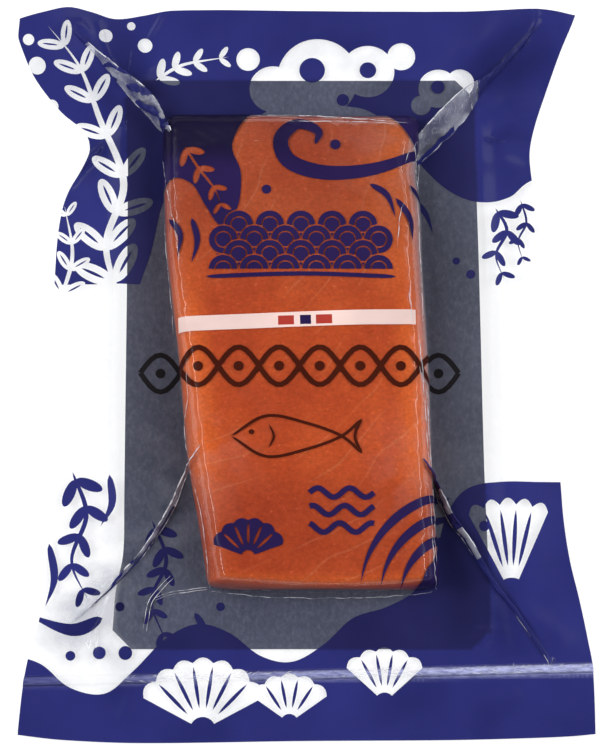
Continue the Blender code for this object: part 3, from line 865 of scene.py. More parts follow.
# %% Clear film material
def film_material(name, haze, patchy, haze_colour="#CFD1DA", roughness=0.07):
    """Clear barrier film. haze and patchy are its shares of milky scatter: flat, and in patches of painted
    shade near folds.
    """
    material, tree, where = new_material(name)
    ripple = add(tree, "ShaderNodeTexNoise",
                 {"Scale": 1 / 0.016, "Detail": 2.0, "Roughness": 0.4, "Vector": where})
    bump = add(tree, "ShaderNodeBump",
               {"Strength": 0.4, "Distance": 0.0006, "Height": ripple.outputs["Fac"]})
    clear = add(tree, "ShaderNodeBsdfTransparent", {"Color": [0.985, 0.987, 0.99, 1]})
    gloss = add(tree, "ShaderNodeBsdfGlossy",
                {"Color": grey(1), "Roughness": roughness, "Normal": bump})
    milky = add(tree, "ShaderNodeBsdfDiffuse", {"Color": linear(haze_colour)})
    stretch_and_glare, crinkle_shade, lean, painted_dip_shade = (
        add(tree, "ShaderNodeAttribute", attribute_name=number).outputs["Fac"]
        for number in ("stretch_and_glare", "crinkle_shade", "lean", "painted_dip_shade"))
    # Stretch whitening, raised into a painted glare on the fish's right wall.
    stretch_whitening_and_glare = add(tree, "ShaderNodeMapRange",
                 {"From Min": 0.3, "From Max": 6.0, "To Min": haze, "To Max": haze + 0.34,
                  "Value": stretch_and_glare})
    # Patches of painted shade where the film gathers into folds.
    cloud = add(tree, "ShaderNodeTexNoise",
                {"Scale": 1 / 0.009, "Detail": 1.0, "Roughness": 0.5, "Vector": where})
    cloudy = add(tree, "ShaderNodeMapRange",
                 {"From Min": 0.42, "From Max": 0.62, "To Min": 0.0, "To Max": patchy,
                  "Value": cloud.outputs["Fac"]})
    patches = add(tree, "ShaderNodeMath", {0: cloudy, 1: crinkle_shade}, operation="MULTIPLY")
    # Painted shade: leaning film and film beside the folds take a share of milky grey.
    dip_shade_share = add(tree, "ShaderNodeMath", {1: 0.3, 0: painted_dip_shade}, operation="MULTIPLY")
    crumpled = add(tree, "ShaderNodeMath", {1: 0.5, 0: lean, 2: dip_shade_share}, operation="MULTIPLY_ADD")
    flat = add(tree, "ShaderNodeMath", {0: stretch_whitening_and_glare, 1: patches}, operation="ADD")
    share = add(tree, "ShaderNodeMath", {0: flat, 1: crumpled}, operation="ADD", use_clamp=True)
    body = add(tree, "ShaderNodeMixShader", {0: share, 1: clear, 2: milky})
    facing = add(tree, "ShaderNodeLayerWeight", {"Blend": 0.5, "Normal": bump})
    steep = add(tree, "ShaderNodeMath", {1: 5.0, 0: facing.outputs["Facing"]}, operation="POWER")
    mirror = add(tree, "ShaderNodeMapRange", {"To Min": 0.045, "To Max": 0.7, "Value": steep})
    mix = add(tree, "ShaderNodeMixShader", {0: mirror, 1: body, 2: gloss})
    add(tree, "ShaderNodeOutputMaterial", {"Surface": mix})
    return material


clear_film = film_material("clear_barrier_film", 0.002, patchy=0.22)
fold_film = film_material("folded_barrier_film", 0.05, patchy=0.5, haze_colour="#C9CCDC", roughness=0.1)


def lip_material():
    """The tight roll of film at a free edge: in places painted white as a glint, in places clear."""
    material, tree, where = new_material("rolled_film_edge_glint")
    broken = add(tree, "ShaderNodeTexNoise",
                 {"Scale": 1 / 0.0045, "Detail": 2.0, "Roughness": 0.6, "Vector": where})
    share = add(tree, "ShaderNodeMapRange",
                {"From Min": 0.42, "From Max": 0.6, "To Min": 0.12, "To Max": 0.9,
                 "Value": broken.outputs["Fac"]})
    clear = add(tree, "ShaderNodeBsdfTransparent", {"Color": [0.97, 0.97, 0.98, 1]})
    # Painted glint: a white film colour.
    white = add(tree, "ShaderNodeBsdfPrincipled",
                {"Base Color": linear("#EDEEF6"), "Roughness": 0.2, "IOR": 1.5})
    mix = add(tree, "ShaderNodeMixShader", {0: share, 1: clear, 2: white})
    add(tree, "ShaderNodeOutputMaterial", {"Surface": mix})
    return material


lip_glint_film = lip_material()

# %% [markdown]
# ## Printed film
#
# The ink is gravure-printed on the inner side of the film, so it looks deep and keeps the film's
# gloss. Ink is thin: over the dark board it is darker than over a white shelf, and over the fish it
# leans to purple. Over the fish's upper left end it is painted nearly black, a painted shade where
# that end slopes away from the light. The stored number "backing_and_end_shade" is 0 over nothing,
# 1 over the board, 2 over the fish and 3 over that shaded end. Ink stretched over an edge loses gloss,
# ink beside the folds is darkened by painted shade, and soft patches a little lighter and darker are a
# painted sheen. The hot seal has frosted it along its bead, and a painted highlight whitens that bead
# more towards the right.

# %% Printed film materials
# How white the seal's bead gets: frost, with a painted highlight.
SEAL_FROST_AND_HIGHLIGHT = 0.9


def ink_material(name, over_shelf, over_board, over_fish, over_shaded_end):
    """Reverse-printed ink under gloss film, with what lies behind it showing a little."""
    material, tree, where = new_material(name)
    backing_and_end_shade, painted_dip_shade, bead, stretch_and_glare = (
        add(tree, "ShaderNodeAttribute", attribute_name=number).outputs["Fac"]
        for number in ("backing_and_end_shade", "painted_dip_shade", "bead", "stretch_and_glare"))
    # The last stop, over the fish's upper left end, is painted shade.
    third = add(tree, "ShaderNodeMath", {1: 1 / 3, 0: backing_and_end_shade}, operation="MULTIPLY")
    colour = ramp(tree, third.outputs[0], [(0.0, linear(over_shelf)), (1 / 3, linear(over_board)),
                                           (2 / 3, linear(over_fish)), (1.0, linear(over_shaded_end))])
    # Painted sheen: soft random patches of lighter and darker ink.
    cloud = add(tree, "ShaderNodeTexNoise", {"Scale": 1 / 0.03, "Detail": 3.0, "Vector": where})
    tone = add(tree, "ShaderNodeMapRange",
               {"From Min": 0.3, "From Max": 0.7, "To Min": 0.88, "To Max": 1.14,
                "Value": cloud.outputs["Fac"]})
    # Painted shade: ink beside the folds is darker.
    shade = add(tree, "ShaderNodeMapRange", {"To Min": 1.0, "To Max": 0.58, "Value": painted_dip_shade})
    level = add(tree, "ShaderNodeMath", {0: tone, 1: shade}, operation="MULTIPLY")
    toned = add(tree, "ShaderNodeVectorMath", {0: colour, "Scale": level}, operation="SCALE")
    drawn = add(tree, "ShaderNodeMapping", {"Scale": (0.22, 1.0, 1.0), "Vector": where})
    grain = add(tree, "ShaderNodeTexNoise",
                {"Scale": 1 / 0.0008, "Detail": 2.0, "Roughness": 0.6, "Vector": drawn})
    fleck = add(tree, "ShaderNodeMapRange",
                {"From Min": 0.34, "From Max": 0.62, "To Min": 0.45, "To Max": 1.0,
                 "Value": grain.outputs["Fac"]})
    # Seal frost, with a painted highlight that grows towards the right end.
    white = add(tree, "ShaderNodeMath", {0: bead, 1: fleck}, operation="MULTIPLY")
    place = add(tree, "ShaderNodeSeparateXYZ", {0: where})
    frost_and_highlight_rise = add(tree, "ShaderNodeMapRange",
                 {"From Min": -0.08, "From Max": 0.07, "To Min": SEAL_FROST_AND_HIGHLIGHT * 0.16,
                  "To Max": SEAL_FROST_AND_HIGHLIGHT, "Value": place.outputs["X"]})
    strength = add(tree, "ShaderNodeMath", {0: white, 1: frost_and_highlight_rise}, operation="MULTIPLY")
    shown = add(tree, "ShaderNodeMix", {0: strength, 6: toned, 7: linear("#CDD3FF")}, data_type="RGBA")
    ripple = add(tree, "ShaderNodeTexNoise",
                 {"Scale": 1 / 0.02, "Detail": 2.0, "Roughness": 0.45, "Vector": where})
    rough = add(tree, "ShaderNodeMapRange",
                {"To Min": 0.16, "To Max": 0.3, "Value": cloud.outputs["Fac"]})
    bump = add(tree, "ShaderNodeBump",
               {"Strength": 0.35, "Distance": 0.0008, "Height": ripple.outputs["Fac"]})
    stretched = add(tree, "ShaderNodeMath", {0: stretch_and_glare, 1: backing_and_end_shade}, operation="MULTIPLY")
    dull = add(tree, "ShaderNodeMapRange",
               {"From Max": 0.3, "To Min": 0.3, "To Max": 0.03, "Value": stretched})
    shader = add(tree, "ShaderNodeBsdfPrincipled",
                 {"IOR": 1.5, "Base Color": shown.outputs[2], "Roughness": rough, "Normal": bump,
                  "Specular IOR Level": dull})
    add(tree, "ShaderNodeOutputMaterial", {"Surface": shader})
    return material


# The last colour of each ink is the painted shade over the fish's upper left end.
navy_ink = ink_material("navy_gravure_ink", "#2C2F72", "#252556", "#281D4B", "#191430")
white_ink = ink_material("thin_white_ink", "#F2F0F2", "#D8D4DC", "#F0D3CC", "#F0D3CC")
red_ink = ink_material("red_gravure_ink", "#B8443C", "#A03A35", "#AD3C33", "#AD3C33")
dark_ink = ink_material("dark_gravure_ink", "#2A262B", "#1E1C1F", "#43190F", "#43190F")
INKS = {"clear": clear_film, "navy": navy_ink, "navy_block": navy_ink, "white": white_ink, "red": red_ink,
        "dark": dark_ink}

# %% [markdown]
# The front film is cut along the edges of its print, so that each ink is a piece of its own. All of
# them share one triangulation and one height function, and so they meet exactly.

# %% The front film, one piece for each ink
def shoulder_points(spacing):
    """Extra points over the fish's shoulders, where the wrinkles are."""
    points = np.array(grid_points(spacing))
    inside = salmon_inside(points[:, 0], points[:, 1])
    return [tuple(p) for p in points[(inside > 0.2) & (inside < 0.98)]]


def front_points():
    """Loose points for the front film: an even grid, and more beside the creases and the bead."""
    loose = crease_points() + shoulder_points(0.95) + grid_points(1.6)
    for row in np.linspace(-1.25, 1.25, 9):
        loose += [(x, BEAD_Y + BEAD_SLOPE * x + row * BEAD_WIDTH / 2) for x in np.arange(-97, 102, 0.9)]
    return loose


WALL_RINGS = (-0.22, -0.1, -0.03, 0.0, 0.012, 0.04, 0.09, 0.17, 0.28)
guides = [fish_loop(ring, 1.1) for ring in WALL_RINGS]
guides += [board_loop(outside, 2) for outside in (-0.4, 1.0, 2.6, 5.0, 8.0)]
outlines = [rim] + [shape for _, shape in PRINT]
plan, triangles, tops = triangulate(outlines, guides, front_points(), 0.42)
layer_inks = np.array(["clear"] + inks)[tops]
front = {}
for ink, name in (("clear", "film_front"), ("navy", "print_navy"), ("navy_block", "print_block"),
                  ("white", "print_strip"), ("red", "print_red"), ("dark", "print_dark")):
    front[ink] = sheet_piece(name, film_front, plan, triangles[layer_inks == ink], INKS[ink])

# %% [markdown]
# The back film is plain and lies nearly flat, so a wider grid is enough for it.

# %% The back film
back_plan, back_triangles, _ = triangulate([rim], [board_loop(d, 3) for d in (-0.4, 1.5, 4, 8)],
                                           grid_points(3.0), 1.0)
back_film = sheet_piece("film_back", film_back, back_plan, back_triangles, clear_film, up=-1)

# %% [markdown]
# ## The board
#
# The board is slate-grey coated card, 1.6 mm thick, die-cut with its corners taken off. Its face is
# mottled by paper fibre under a thin coat, and the mottles are a little longer along the board. Its
# middle is a trace darker and warmer than its ends.

# %% Board material
def board_material():
    """Coated grey board: mottled fibres, a little longer along the board."""
    material, tree, where = new_material("slate_grey_coated_board")
    along = add(tree, "ShaderNodeMapping", {"Scale": (1.0, 0.62, 1.0), "Vector": where})
    streak = add(tree, "ShaderNodeTexNoise",
                 {"Scale": 1 / 0.0015, "Detail": 5.0, "Roughness": 0.75, "Vector": along})
    cloud = add(tree, "ShaderNodeTexNoise", {"Scale": 1 / 0.035, "Detail": 3.0, "Vector": where})
    fibre = ramp(tree, streak.outputs["Fac"], [(0.34, linear("#3C4052")), (0.5, linear("#4F5366")),
                                               (0.68, linear("#696D80"))])
    shade = ramp(tree, cloud.outputs["Fac"], [(0.35, linear("#484D5F")), (0.65, linear("#5C6175"))])
    mix = add(tree, "ShaderNodeMix", {0: 0.45, 6: fibre, 7: shade}, data_type="RGBA")
    place = add(tree, "ShaderNodeSeparateXYZ", {0: where})
    from_middle = add(tree, "ShaderNodeMath", {0: place.outputs["Y"]}, operation="ABSOLUTE")
    ends = add(tree, "ShaderNodeMapRange", {"From Min": 0.035, "From Max": 0.085, "Value": from_middle})
    tint = add(tree, "ShaderNodeMix",
               {6: linear("#F6F4EE"), 7: linear("#FFFFFF"), 0: ends}, data_type="RGBA")
    toned = add(tree, "ShaderNodeMix",
                {0: 1.0, 6: mix.outputs[2], 7: tint.outputs[2]}, data_type="RGBA",
                blend_type="MULTIPLY")
    bump = add(tree, "ShaderNodeBump",
               {"Strength": 0.25, "Distance": 0.0002, "Height": streak.outputs["Fac"]})
    rough = add(tree, "ShaderNodeMapRange",
                {"To Min": 0.5, "To Max": 0.75, "Value": streak.outputs["Fac"]})
    shader = add(tree, "ShaderNodeBsdfPrincipled",
                 {"IOR": 1.5, "Specular IOR Level": 0.3, "Base Color": toned.outputs[2],
                  "Roughness": rough, "Normal": bump})
    add(tree, "ShaderNodeOutputMaterial", {"Surface": shader})
    return material


def closed_piece(name, outline, guides, loose, top, bottom, material, clearance):
    """A closed solid between two height functions over one outline."""
    points, faces, _ = triangulate([outline], guides, loose, clearance)
    points, faces = used_part(points, faces)
    x, y = points.T
    count = len(points)
    edges = dict.fromkeys((face[i], face[(i + 1) % 3]) for face in faces.tolist() for i in range(3))
    walls = [(j, i, i + count, j + count) for i, j in edges if (j, i) not in edges]
    places = np.concatenate([np.stack([x, y, top(x, y)], 1), np.stack([x, y, bottom(x, y)], 1)])
    all_faces = faces.tolist() + (faces[:, ::-1] + count).tolist() + walls
    piece = mesh_piece(name, places, all_faces, material)
    piece.data.set_sharp_from_angle(angle=math.radians(50))
    print(name, len(all_faces), "faces")
    return piece


def board_upper(x, y):
    """The board's face, a hair under the film."""
    return board_lift(x, y) + BOARD_THICKNESS - 0.02


def board_under(x, y):
    """The board's back, a hair above the lower film."""
    return board_lift(x, y) + 0.12


board = closed_piece("slate_board", board_loop(-0.15, 2.0), [board_loop(-0.45, 2.0)], grid_points(2.5),
                     board_upper, board_under, board_material(), 0.25)

# %% [markdown]
# ## The salmon
#
# Cold-smoked salmon is dense and slightly translucent, deep orange with thin pale lines of fat that
# run slantwise where the muscle was cut. It is one block, made like the film from its height over
# the plan, a little smaller, with a fine grain in the mesh and more in the material. Its upper end is
# greyer and darker, a painted shade where the thick end lies away from the light; it is darker
# towards its lower end, and brighter along its rim.

# %% Salmon material
def salmon_material():
    """Cold-smoked salmon: orange flesh, thin fat lines and fine moist grain."""
    material, tree, where = new_material("cold_smoked_salmon")
    cloud = add(tree, "ShaderNodeTexNoise",
                {"Scale": 1 / 0.03, "Detail": 4.0, "Roughness": 0.6, "Vector": where})
    flesh = ramp(tree, cloud.outputs["Fac"], [(0.32, linear("#A94122")), (0.5, linear("#B64A24")),
                                              (0.68, linear("#C2542A"))])
    edge = add(tree, "ShaderNodeAttribute", attribute_name="rim")
    bright = add(tree, "ShaderNodeMix",
                 {0: edge.outputs["Fac"], 6: flesh, 7: linear("#DE6A2E")}, data_type="RGBA")
    away = add(tree, "ShaderNodeMapping", {"Location": (0.08, -0.09, 0), "Vector": where})
    fat = add(tree, "ShaderNodeTexWave",
              {"Scale": 1 / 0.03, "Distortion": 4.0, "Detail": 1.0, "Detail Scale": 1.2,
               "Vector": away}, wave_type="RINGS", rings_direction="Z", wave_profile="SIN")
    line = add(tree, "ShaderNodeMapRange",
               {"From Min": 0.975, "From Max": 1.0, "To Min": 0.0, "To Max": 1.0,
                "Value": fat.outputs["Fac"]})
    here = add(tree, "ShaderNodeTexNoise", {"Scale": 1 / 0.026, "Detail": 1.0, "Vector": where})
    patch = add(tree, "ShaderNodeMapRange",
                {"From Min": 0.46, "From Max": 0.62, "To Min": 0.0, "To Max": 0.2,
                 "Value": here.outputs["Fac"]})
    veil = add(tree, "ShaderNodeMath", {0: line, 1: patch}, operation="MULTIPLY")
    veined = add(tree, "ShaderNodeMix",
                 {0: veil, 6: bright.outputs[2], 7: linear("#D98D62")}, data_type="RGBA")
    place = add(tree, "ShaderNodeSeparateXYZ", {0: where})
    upper = add(tree, "ShaderNodeMapRange",
                {"From Min": 0.016, "From Max": 0.05, "Value": place.outputs["Y"]})
    lower = add(tree, "ShaderNodeMapRange",
                {"From Min": -0.032, "From Max": -0.048, "Value": place.outputs["Y"]})
    # Painted shade: the upper end greyer and darker.
    upper_end_shade = add(tree, "ShaderNodeMix",
                {4: (1.04, 1.04, 0.98), 5: (0.8, 0.93, 1.22), 0: upper}, data_type="VECTOR")
    lower_end_darker = add(tree, "ShaderNodeMix",
                {5: (0.87, 0.83, 0.88), 0: lower, 4: upper_end_shade.outputs[1]}, data_type="VECTOR")
    lighter = add(tree, "ShaderNodeVectorMath",
                  {0: veined.outputs[2], 1: lower_end_darker.outputs[1]}, operation="MULTIPLY")
    flat = add(tree, "ShaderNodeMapping", {"Scale": (0.8, 1.0, 1.0), "Vector": where})
    grain = add(tree, "ShaderNodeTexNoise",
                {"Scale": 1 / 0.0011, "Detail": 3.0, "Roughness": 0.7, "Vector": flat})
    fleck = add(tree, "ShaderNodeMapRange",
                {"From Min": 0.3, "From Max": 0.7, "To Min": 0.82, "To Max": 1.18,
                 "Value": grain.outputs["Fac"]})
    toned = add(tree, "ShaderNodeVectorMath", {0: lighter, "Scale": fleck}, operation="SCALE")
    speck = add(tree, "ShaderNodeMapRange",
                {"From Min": 0.66, "From Max": 0.74, "To Min": 0.0, "To Max": 0.35,
                 "Value": grain.outputs["Fac"]})
    specked = add(tree, "ShaderNodeMix", {0: speck, 6: toned, 7: linear("#E39A70")}, data_type="RGBA")
    bump = add(tree, "ShaderNodeBump",
               {"Strength": 0.4, "Distance": 0.0003, "Height": grain.outputs["Fac"]})
    shader = add(tree, "ShaderNodeBsdfPrincipled",
                 {"IOR": 1.4, "Specular IOR Level": 0.3, "Subsurface Weight": 0.12,
                  "Subsurface Radius": (0.004, 0.0012, 0.0006), "Subsurface Scale": 1.0,
                  "Roughness": 0.42, "Base Color": specked.outputs[2], "Normal": bump})
    add(tree, "ShaderNodeOutputMaterial", {"Surface": shader})
    return material


def salmon_under(x, y):
    """The flat side that lies on the board."""
    return board_lift(x, y) + BOARD_THICKNESS


def salmon_upper(x, y):
    """The fish's skin side, a little under the film and finely uneven."""
    height = salmon_height(x, y, inset=0.3) * 0.985
    place = [Vector((a * 0.11, b * 0.16, 0)) for a, b in zip(x, y)]
    uneven = np.array([noise.fractal(p, 0.8, 2.1, 3) for p in place])
    above_foot = np.clip(height / 6, 0, 1)
    loose = (wrinkles(x, y) - 0.35 * shoulder_band(x, y)) * above_foot
    return salmon_under(x, y) + 0.02 + height + uneven * 0.15 * above_foot + loose


salmon_rings = [fish_loop(ring, 1.2) for ring in WALL_RINGS[5:]]
salmon = closed_piece("smoked_salmon", salmon_rings[0], salmon_rings, grid_points(1.1), salmon_upper,
                      salmon_under, salmon_material(), 0.35)
spot_x, spot_y = (np.array([v.co[:2] for v in salmon.data.vertices]) / MM).T
from_right = salmon_right(spot_y) - spot_x
from_side = np.minimum(spot_x - salmon_left(spot_y), from_right)
sides = 0.75 * (1 - smooth_step(from_side, 5, 16)) * smooth_step(-spot_y, -60, 0)
sides = sides * (0.35 + 0.65 * smooth_step(spot_y, -54, -34))
upper_right = 0.55 * (1 - smooth_step(from_right, 4, 27)) * smooth_step(spot_y, 4, 36)
lower_end = 0.6 * (1 - smooth_step(spot_y - salmon_bottom(spot_x), 3, 7))
add_number(salmon, "rim", np.maximum.reduce([sides, upper_right, lower_end]))

# %% [markdown]
# ## Corner folds
#
# Where four corners of spare film gather, the vacuum pinches it into upright webs that fall over.
# Each web rises from a root line in the film to a free edge, and is two layers of film. The root and
# the edge are smooth lines through a few stations: root x and y, edge x and y, and the edge's height.

# %% Webs of folded film
FOLDS = {
    "top_right": [(38, 70, 36, 71.5, 0.4), (43.5, 74.5, 39.5, 79, 9), (50, 80.5, 46.5, 87.5, 9.5),
                  (56, 86.5, 54, 95.5, 8), (61, 93, 60, 101, 5), (66, 101, 66.4, 105, 3),
                  (76, 112, 76, 113.6, 1.6), (84, 122.5, 84, 123, 0.6)],
    "top_left": [(-46, 81, -45.5, 81.5, 0.4), (-51, 86.5, -48.5, 89, 8.5), (-57, 93, -53, 97, 8),
                 (-65, 102, -60.5, 104, 5.5), (-73, 112, -70.5, 112, 3), (-81, 120, -80.5, 120.5, 0.6)],
    "bottom_left": [(-35, -29, -34.5, -29.5, 0.4), (-39.5, -37, -40.5, -37.5, 5),
                    (-45, -51, -47, -51.5, 5), (-54, -65, -55.6, -64.5, 3.4),
                    (-63, -75, -64, -74.2, 2), (-72, -83.5, -72.5, -83, 1.2),
                    (-80, -90, -80, -89.5, 0.5)],
    "bottom_right": [(42.5, -34, 42, -34, 0.4), (46.5, -41, 47.3, -40.6, 5),
                     (51, -53, 53, -52.2, 4.8), (58, -63, 59.8, -62, 3.6), (66, -76, 67.2, -75, 2.2),
                     (75, -87, 75.8, -86.2, 1.4), (84, -101, 84.5, -100.5, 0.5)],
}
FOLD_STEPS, WEB_ROWS, WEB_GAP = 20, 14, 0.3


def fold_lines(stations, seed):
    """The root and the free edge of a fold as two crumpled lines in space."""
    last = len(stations) - 1
    t = np.linspace(0, last, last * FOLD_STEPS + 1)
    root_x, root_y, edge_x, edge_y, rise = (curve(t) for curve in path_curves(stations))
    loose = np.sin(math.pi * t / last) ** 0.5
    root_x = root_x + 0.25 * loose * waves(t * 8, 0 * t, 5.0, seed)
    root_y = root_y + 0.25 * loose * waves(t * 8, 0 * t, 5.0, seed + 1)
    rise = rise + 0.3 * loose * waves(t * 8, 0 * t, 3.0, seed + 2)
    root_z = film_front(root_x, root_y)
    root = np.stack([root_x, root_y, root_z], 1)
    return root, np.stack([edge_x, edge_y, root_z + np.maximum(rise, 0.2)], 1)


def web_grid(stations, seed):
    """Both layers of a web: up from the root, round the free edge and down again."""
    root, edge = fold_lines(stations, seed)
    along = np.gradient(root, axis=0)
    across = np.cross(along, edge - root)
    across /= np.linalg.norm(across, axis=1)[:, None]
    reach = np.linalg.norm(edge - root, axis=1)
    length = np.concatenate([[0], np.cumsum(np.linalg.norm(np.diff(root, axis=0), axis=1))])
    rows, up = [], np.linspace(0, 1, WEB_ROWS + 1)
    for side, shares in ((1, up), (-1, up[-2::-1])):
        for share in shares:
            bow, height = math.sin(math.pi * share) * WEB_GAP * side, reach * share
            folds = 0.4 * waves(length, height, 6.0, seed + 3)
            folds = folds + 0.22 * waves(length, height, 2.6, seed + 4)
            fade = np.minimum(height / 3, 1) * np.minimum(reach * (1 - share) / 2 + 0.3, 1)
            rows.append(root + (edge - root) * share + across * (bow + folds * fade)[:, None])
    return np.array(rows), length, reach


def web_piece(name, rows, keep, material, painted_dip_shade):
    """A mesh from the quads of a grid that keep says yes to."""
    count = rows.shape[1]
    faces = []
    for j in range(rows.shape[0] - 1):
        for i in range(count - 1):
            if keep(j, i):
                first = j * count + i
                faces.append((first, first + 1, first + count + 1, first + count))
    used = sorted({i for face in faces for i in face})
    place = {old: new for new, old in enumerate(used)}
    flat = rows.reshape(-1, 3)[used]
    piece = mesh_piece(name, flat, [tuple(place[i] for i in face) for face in faces], material)
    for number, value in (("backing_and_end_shade", 0), ("stretch_and_glare", 0), ("bead", 0), ("lean", 0), ("painted_dip_shade", painted_dip_shade)):
        add_number(piece, number, np.full(len(flat), value))
    row = np.array(used) // count
    from_edge = np.abs(2 * np.minimum(row, 2 * WEB_ROWS - row) / WEB_ROWS - 1)
    # Patches of painted shade, strongest at the root and at the free edge.
    add_number(piece, "crinkle_shade", 0.35 + 0.65 * from_edge ** 3)
    return piece


def fold_print(corner, length, reach):
    """Which quads of a fold carry ink: a test of the shares up the web and along it."""
    count = len(length) - 1
    blots = np.array([waves(length, reach * j / WEB_ROWS, 8.0, 77) for j in range(2 * WEB_ROWS + 1)])
    tests = {
        "top_right": lambda row, s, blot: (row < 0.2 and 0.06 < s < 0.4) or s > 0.64,
        "top_left": lambda row, s, blot: blot > 0.15 and s < 0.75 or s > 0.9,
        "bottom_left": lambda row, s, blot: (row < 0.3 and 0.3 < s < 0.85
                                             or blot > 0.45 and 0.5 < s < 0.85),
        "bottom_right": lambda row, s, blot: not (0.2 < s < 0.32 or 0.4 < s < 0.56) or row < 0.3,
    }
    test = tests[corner]
    return lambda j, i: test(min(j, 2 * WEB_ROWS - 1 - j) / WEB_ROWS, i / count, blots[j, i])


# Painted shade on each web and on its printed parts.
WEB_PAINTED_SHADES = {"top_right": 0.14, "top_left": 0.16, "bottom_left": 0.05, "bottom_right": 1.2}
PRINTED_WEB_SHADE = 0.25
ROOT_FROM, ROOT_TO, ROOT_LIFT = 0.14, 0.55, 0.12
webs, free_edges, web_roots = [], {"clear": [], "ink": []}, []
for number, (corner, stations) in enumerate(FOLDS.items()):
    grid, length, reach = web_grid(stations, 30 + 10 * number)
    printed = fold_print(corner, length, reach)
    webs.append(web_piece("fold_print_" + corner, grid, printed, navy_ink, PRINTED_WEB_SHADE))
    webs.append(web_piece("fold_clear_" + corner, grid, lambda j, i: not printed(j, i), fold_film,
                          WEB_PAINTED_SHADES[corner]))
    edge, root = grid[WEB_ROWS], grid[0]
    kinds = ["ink" if printed(WEB_ROWS - 1, i) else "clear" for i in range(len(edge) - 1)]
    start = 0
    for i in range(1, len(kinds) + 1):
        if i == len(kinds) or kinds[i] != kinds[start]:
            free_edges[kinds[start]].append(edge[start:i + 1])
            start = i
    web_roots.append(root[int(len(root) * ROOT_FROM):int(len(root) * ROOT_TO)] + [0, 0, ROOT_LIFT])
print(len(webs), "web pieces")

# %% [markdown]
# ## Lips of film, with Geometry Nodes
#
# The free edge of a fold is a tight roll of film that shows as a double line, painted white in places
# as a glint, and its root is crumpled. Both are thin tubes along a path, so one node tree makes them
# all: it takes a line, gives it a round profile whose radius wanders, and sets the material.

# %% A node tree that turns a line into a crumpled tube
def line_tree(name, floats, whole_numbers, result):
    """A tree that takes a line, some numbers and a material: the tree, its inputs and the curve."""
    tree = bpy.data.node_groups.new(name, "GeometryNodeTree")
    face = tree.interface
    face.new_socket("Line", in_out="INPUT", socket_type="NodeSocketGeometry")
    for kind, numbers in (("NodeSocketFloat", floats), ("NodeSocketInt", whole_numbers)):
        for label, value in numbers.items():
            face.new_socket(label, in_out="INPUT", socket_type=kind).default_value = value
    face.new_socket("Finish", in_out="INPUT", socket_type="NodeSocketMaterial")
    face.new_socket(result, in_out="OUTPUT", socket_type="NodeSocketGeometry")
    given = add(tree, "NodeGroupInput").outputs
    return tree, given, add(tree, "GeometryNodeMeshToCurve", {"Mesh": given["Line"]})


def end_tree(tree, shape, given, result):
    """Last nodes of a tree: real geometry with its material."""
    real = add(tree, "GeometryNodeRealizeInstances", {"Geometry": shape})
    finish = add(tree, "GeometryNodeSetMaterial", {"Geometry": real, "Material": given["Finish"]})
    add(tree, "NodeGroupOutput", {result: finish})


def lip_tree():
    """Geometry Nodes: line in, wandering tube out."""
    tree, given, curve = line_tree(
        "film_lip_tree", {"Radius": 0.0004, "Wander": 0.5, "Ripple Length": 0.003}, {"Seed": 1}, "Tube")
    here = add(tree, "GeometryNodeInputPosition")
    fine = add(tree, "ShaderNodeMath", {0: 1.0, 1: given["Ripple Length"]}, operation="DIVIDE")
    rough = add(tree, "ShaderNodeTexNoise",
                {"Detail": 2.0, "Vector": here, "Scale": fine, "W": given["Seed"]},
                noise_dimensions="4D")
    centred = add(tree, "ShaderNodeMath", {1: 0.5, 0: rough}, operation="SUBTRACT")
    swing = add(tree, "ShaderNodeMath", {0: centred, 1: given["Wander"]}, operation="MULTIPLY")
    share = add(tree, "ShaderNodeMath", {1: 1.0, 0: swing}, operation="ADD")
    radius = add(tree, "ShaderNodeMath", {0: share, 1: given["Radius"]}, operation="MULTIPLY")
    along = add(tree, "GeometryNodeSplineParameter")
    arch = add(tree, "ShaderNodeMath", {1: math.pi, 0: along.outputs["Factor"]}, operation="MULTIPLY")
    fade = add(tree, "ShaderNodeMath", {0: arch}, operation="SINE")
    soft = add(tree, "ShaderNodeMath", {1: 0.4, 0: fade}, operation="POWER")
    final = add(tree, "ShaderNodeMath", {0: radius, 1: soft}, operation="MULTIPLY")
    floor_radius = add(tree, "ShaderNodeMath", {1: 0.00005, 0: final}, operation="MAXIMUM")
    sized = add(tree, "GeometryNodeSetCurveRadius", {"Curve": curve, "Radius": floor_radius})
    ring = add(tree, "GeometryNodeCurvePrimitiveCircle", {"Resolution": 8, "Radius": 1.0})
    tube = add(tree, "GeometryNodeCurveToMesh",
               {"Fill Caps": True, "Curve": sized, "Profile Curve": ring})
    if "Scale" in tube.inputs:
        read = add(tree, "GeometryNodeInputRadius")
        tree.links.new(read.outputs[0], tube.inputs["Scale"])
    smooth = add(tree, "GeometryNodeSetShadeSmooth", {"Geometry": tube})
    end_tree(tree, smooth, given, "Tube")
    return tree


def set_inputs(modifier, tree, values):
    """Set a tree's inputs by the identifiers of their sockets."""
    for item in tree.interface.items_tree:
        if item.item_type == "SOCKET" and item.in_out == "INPUT" and item.name in values:
            modifier[item.identifier] = values[item.name]


def freeze(piece, name):
    """Turn a piece with live modifiers into a plain mesh of the same shape."""
    ready = piece.evaluated_get(bpy.context.evaluated_depsgraph_get())
    mesh = bpy.data.meshes.new_from_object(ready)
    mesh.name = name
    piece.modifiers.clear()
    fresh = bpy.data.objects.new(name, mesh)
    bpy.context.scene.collection.objects.link(fresh)
    bpy.data.objects.remove(piece, do_unlink=True)
    return fresh


LIP_TREE = lip_tree()


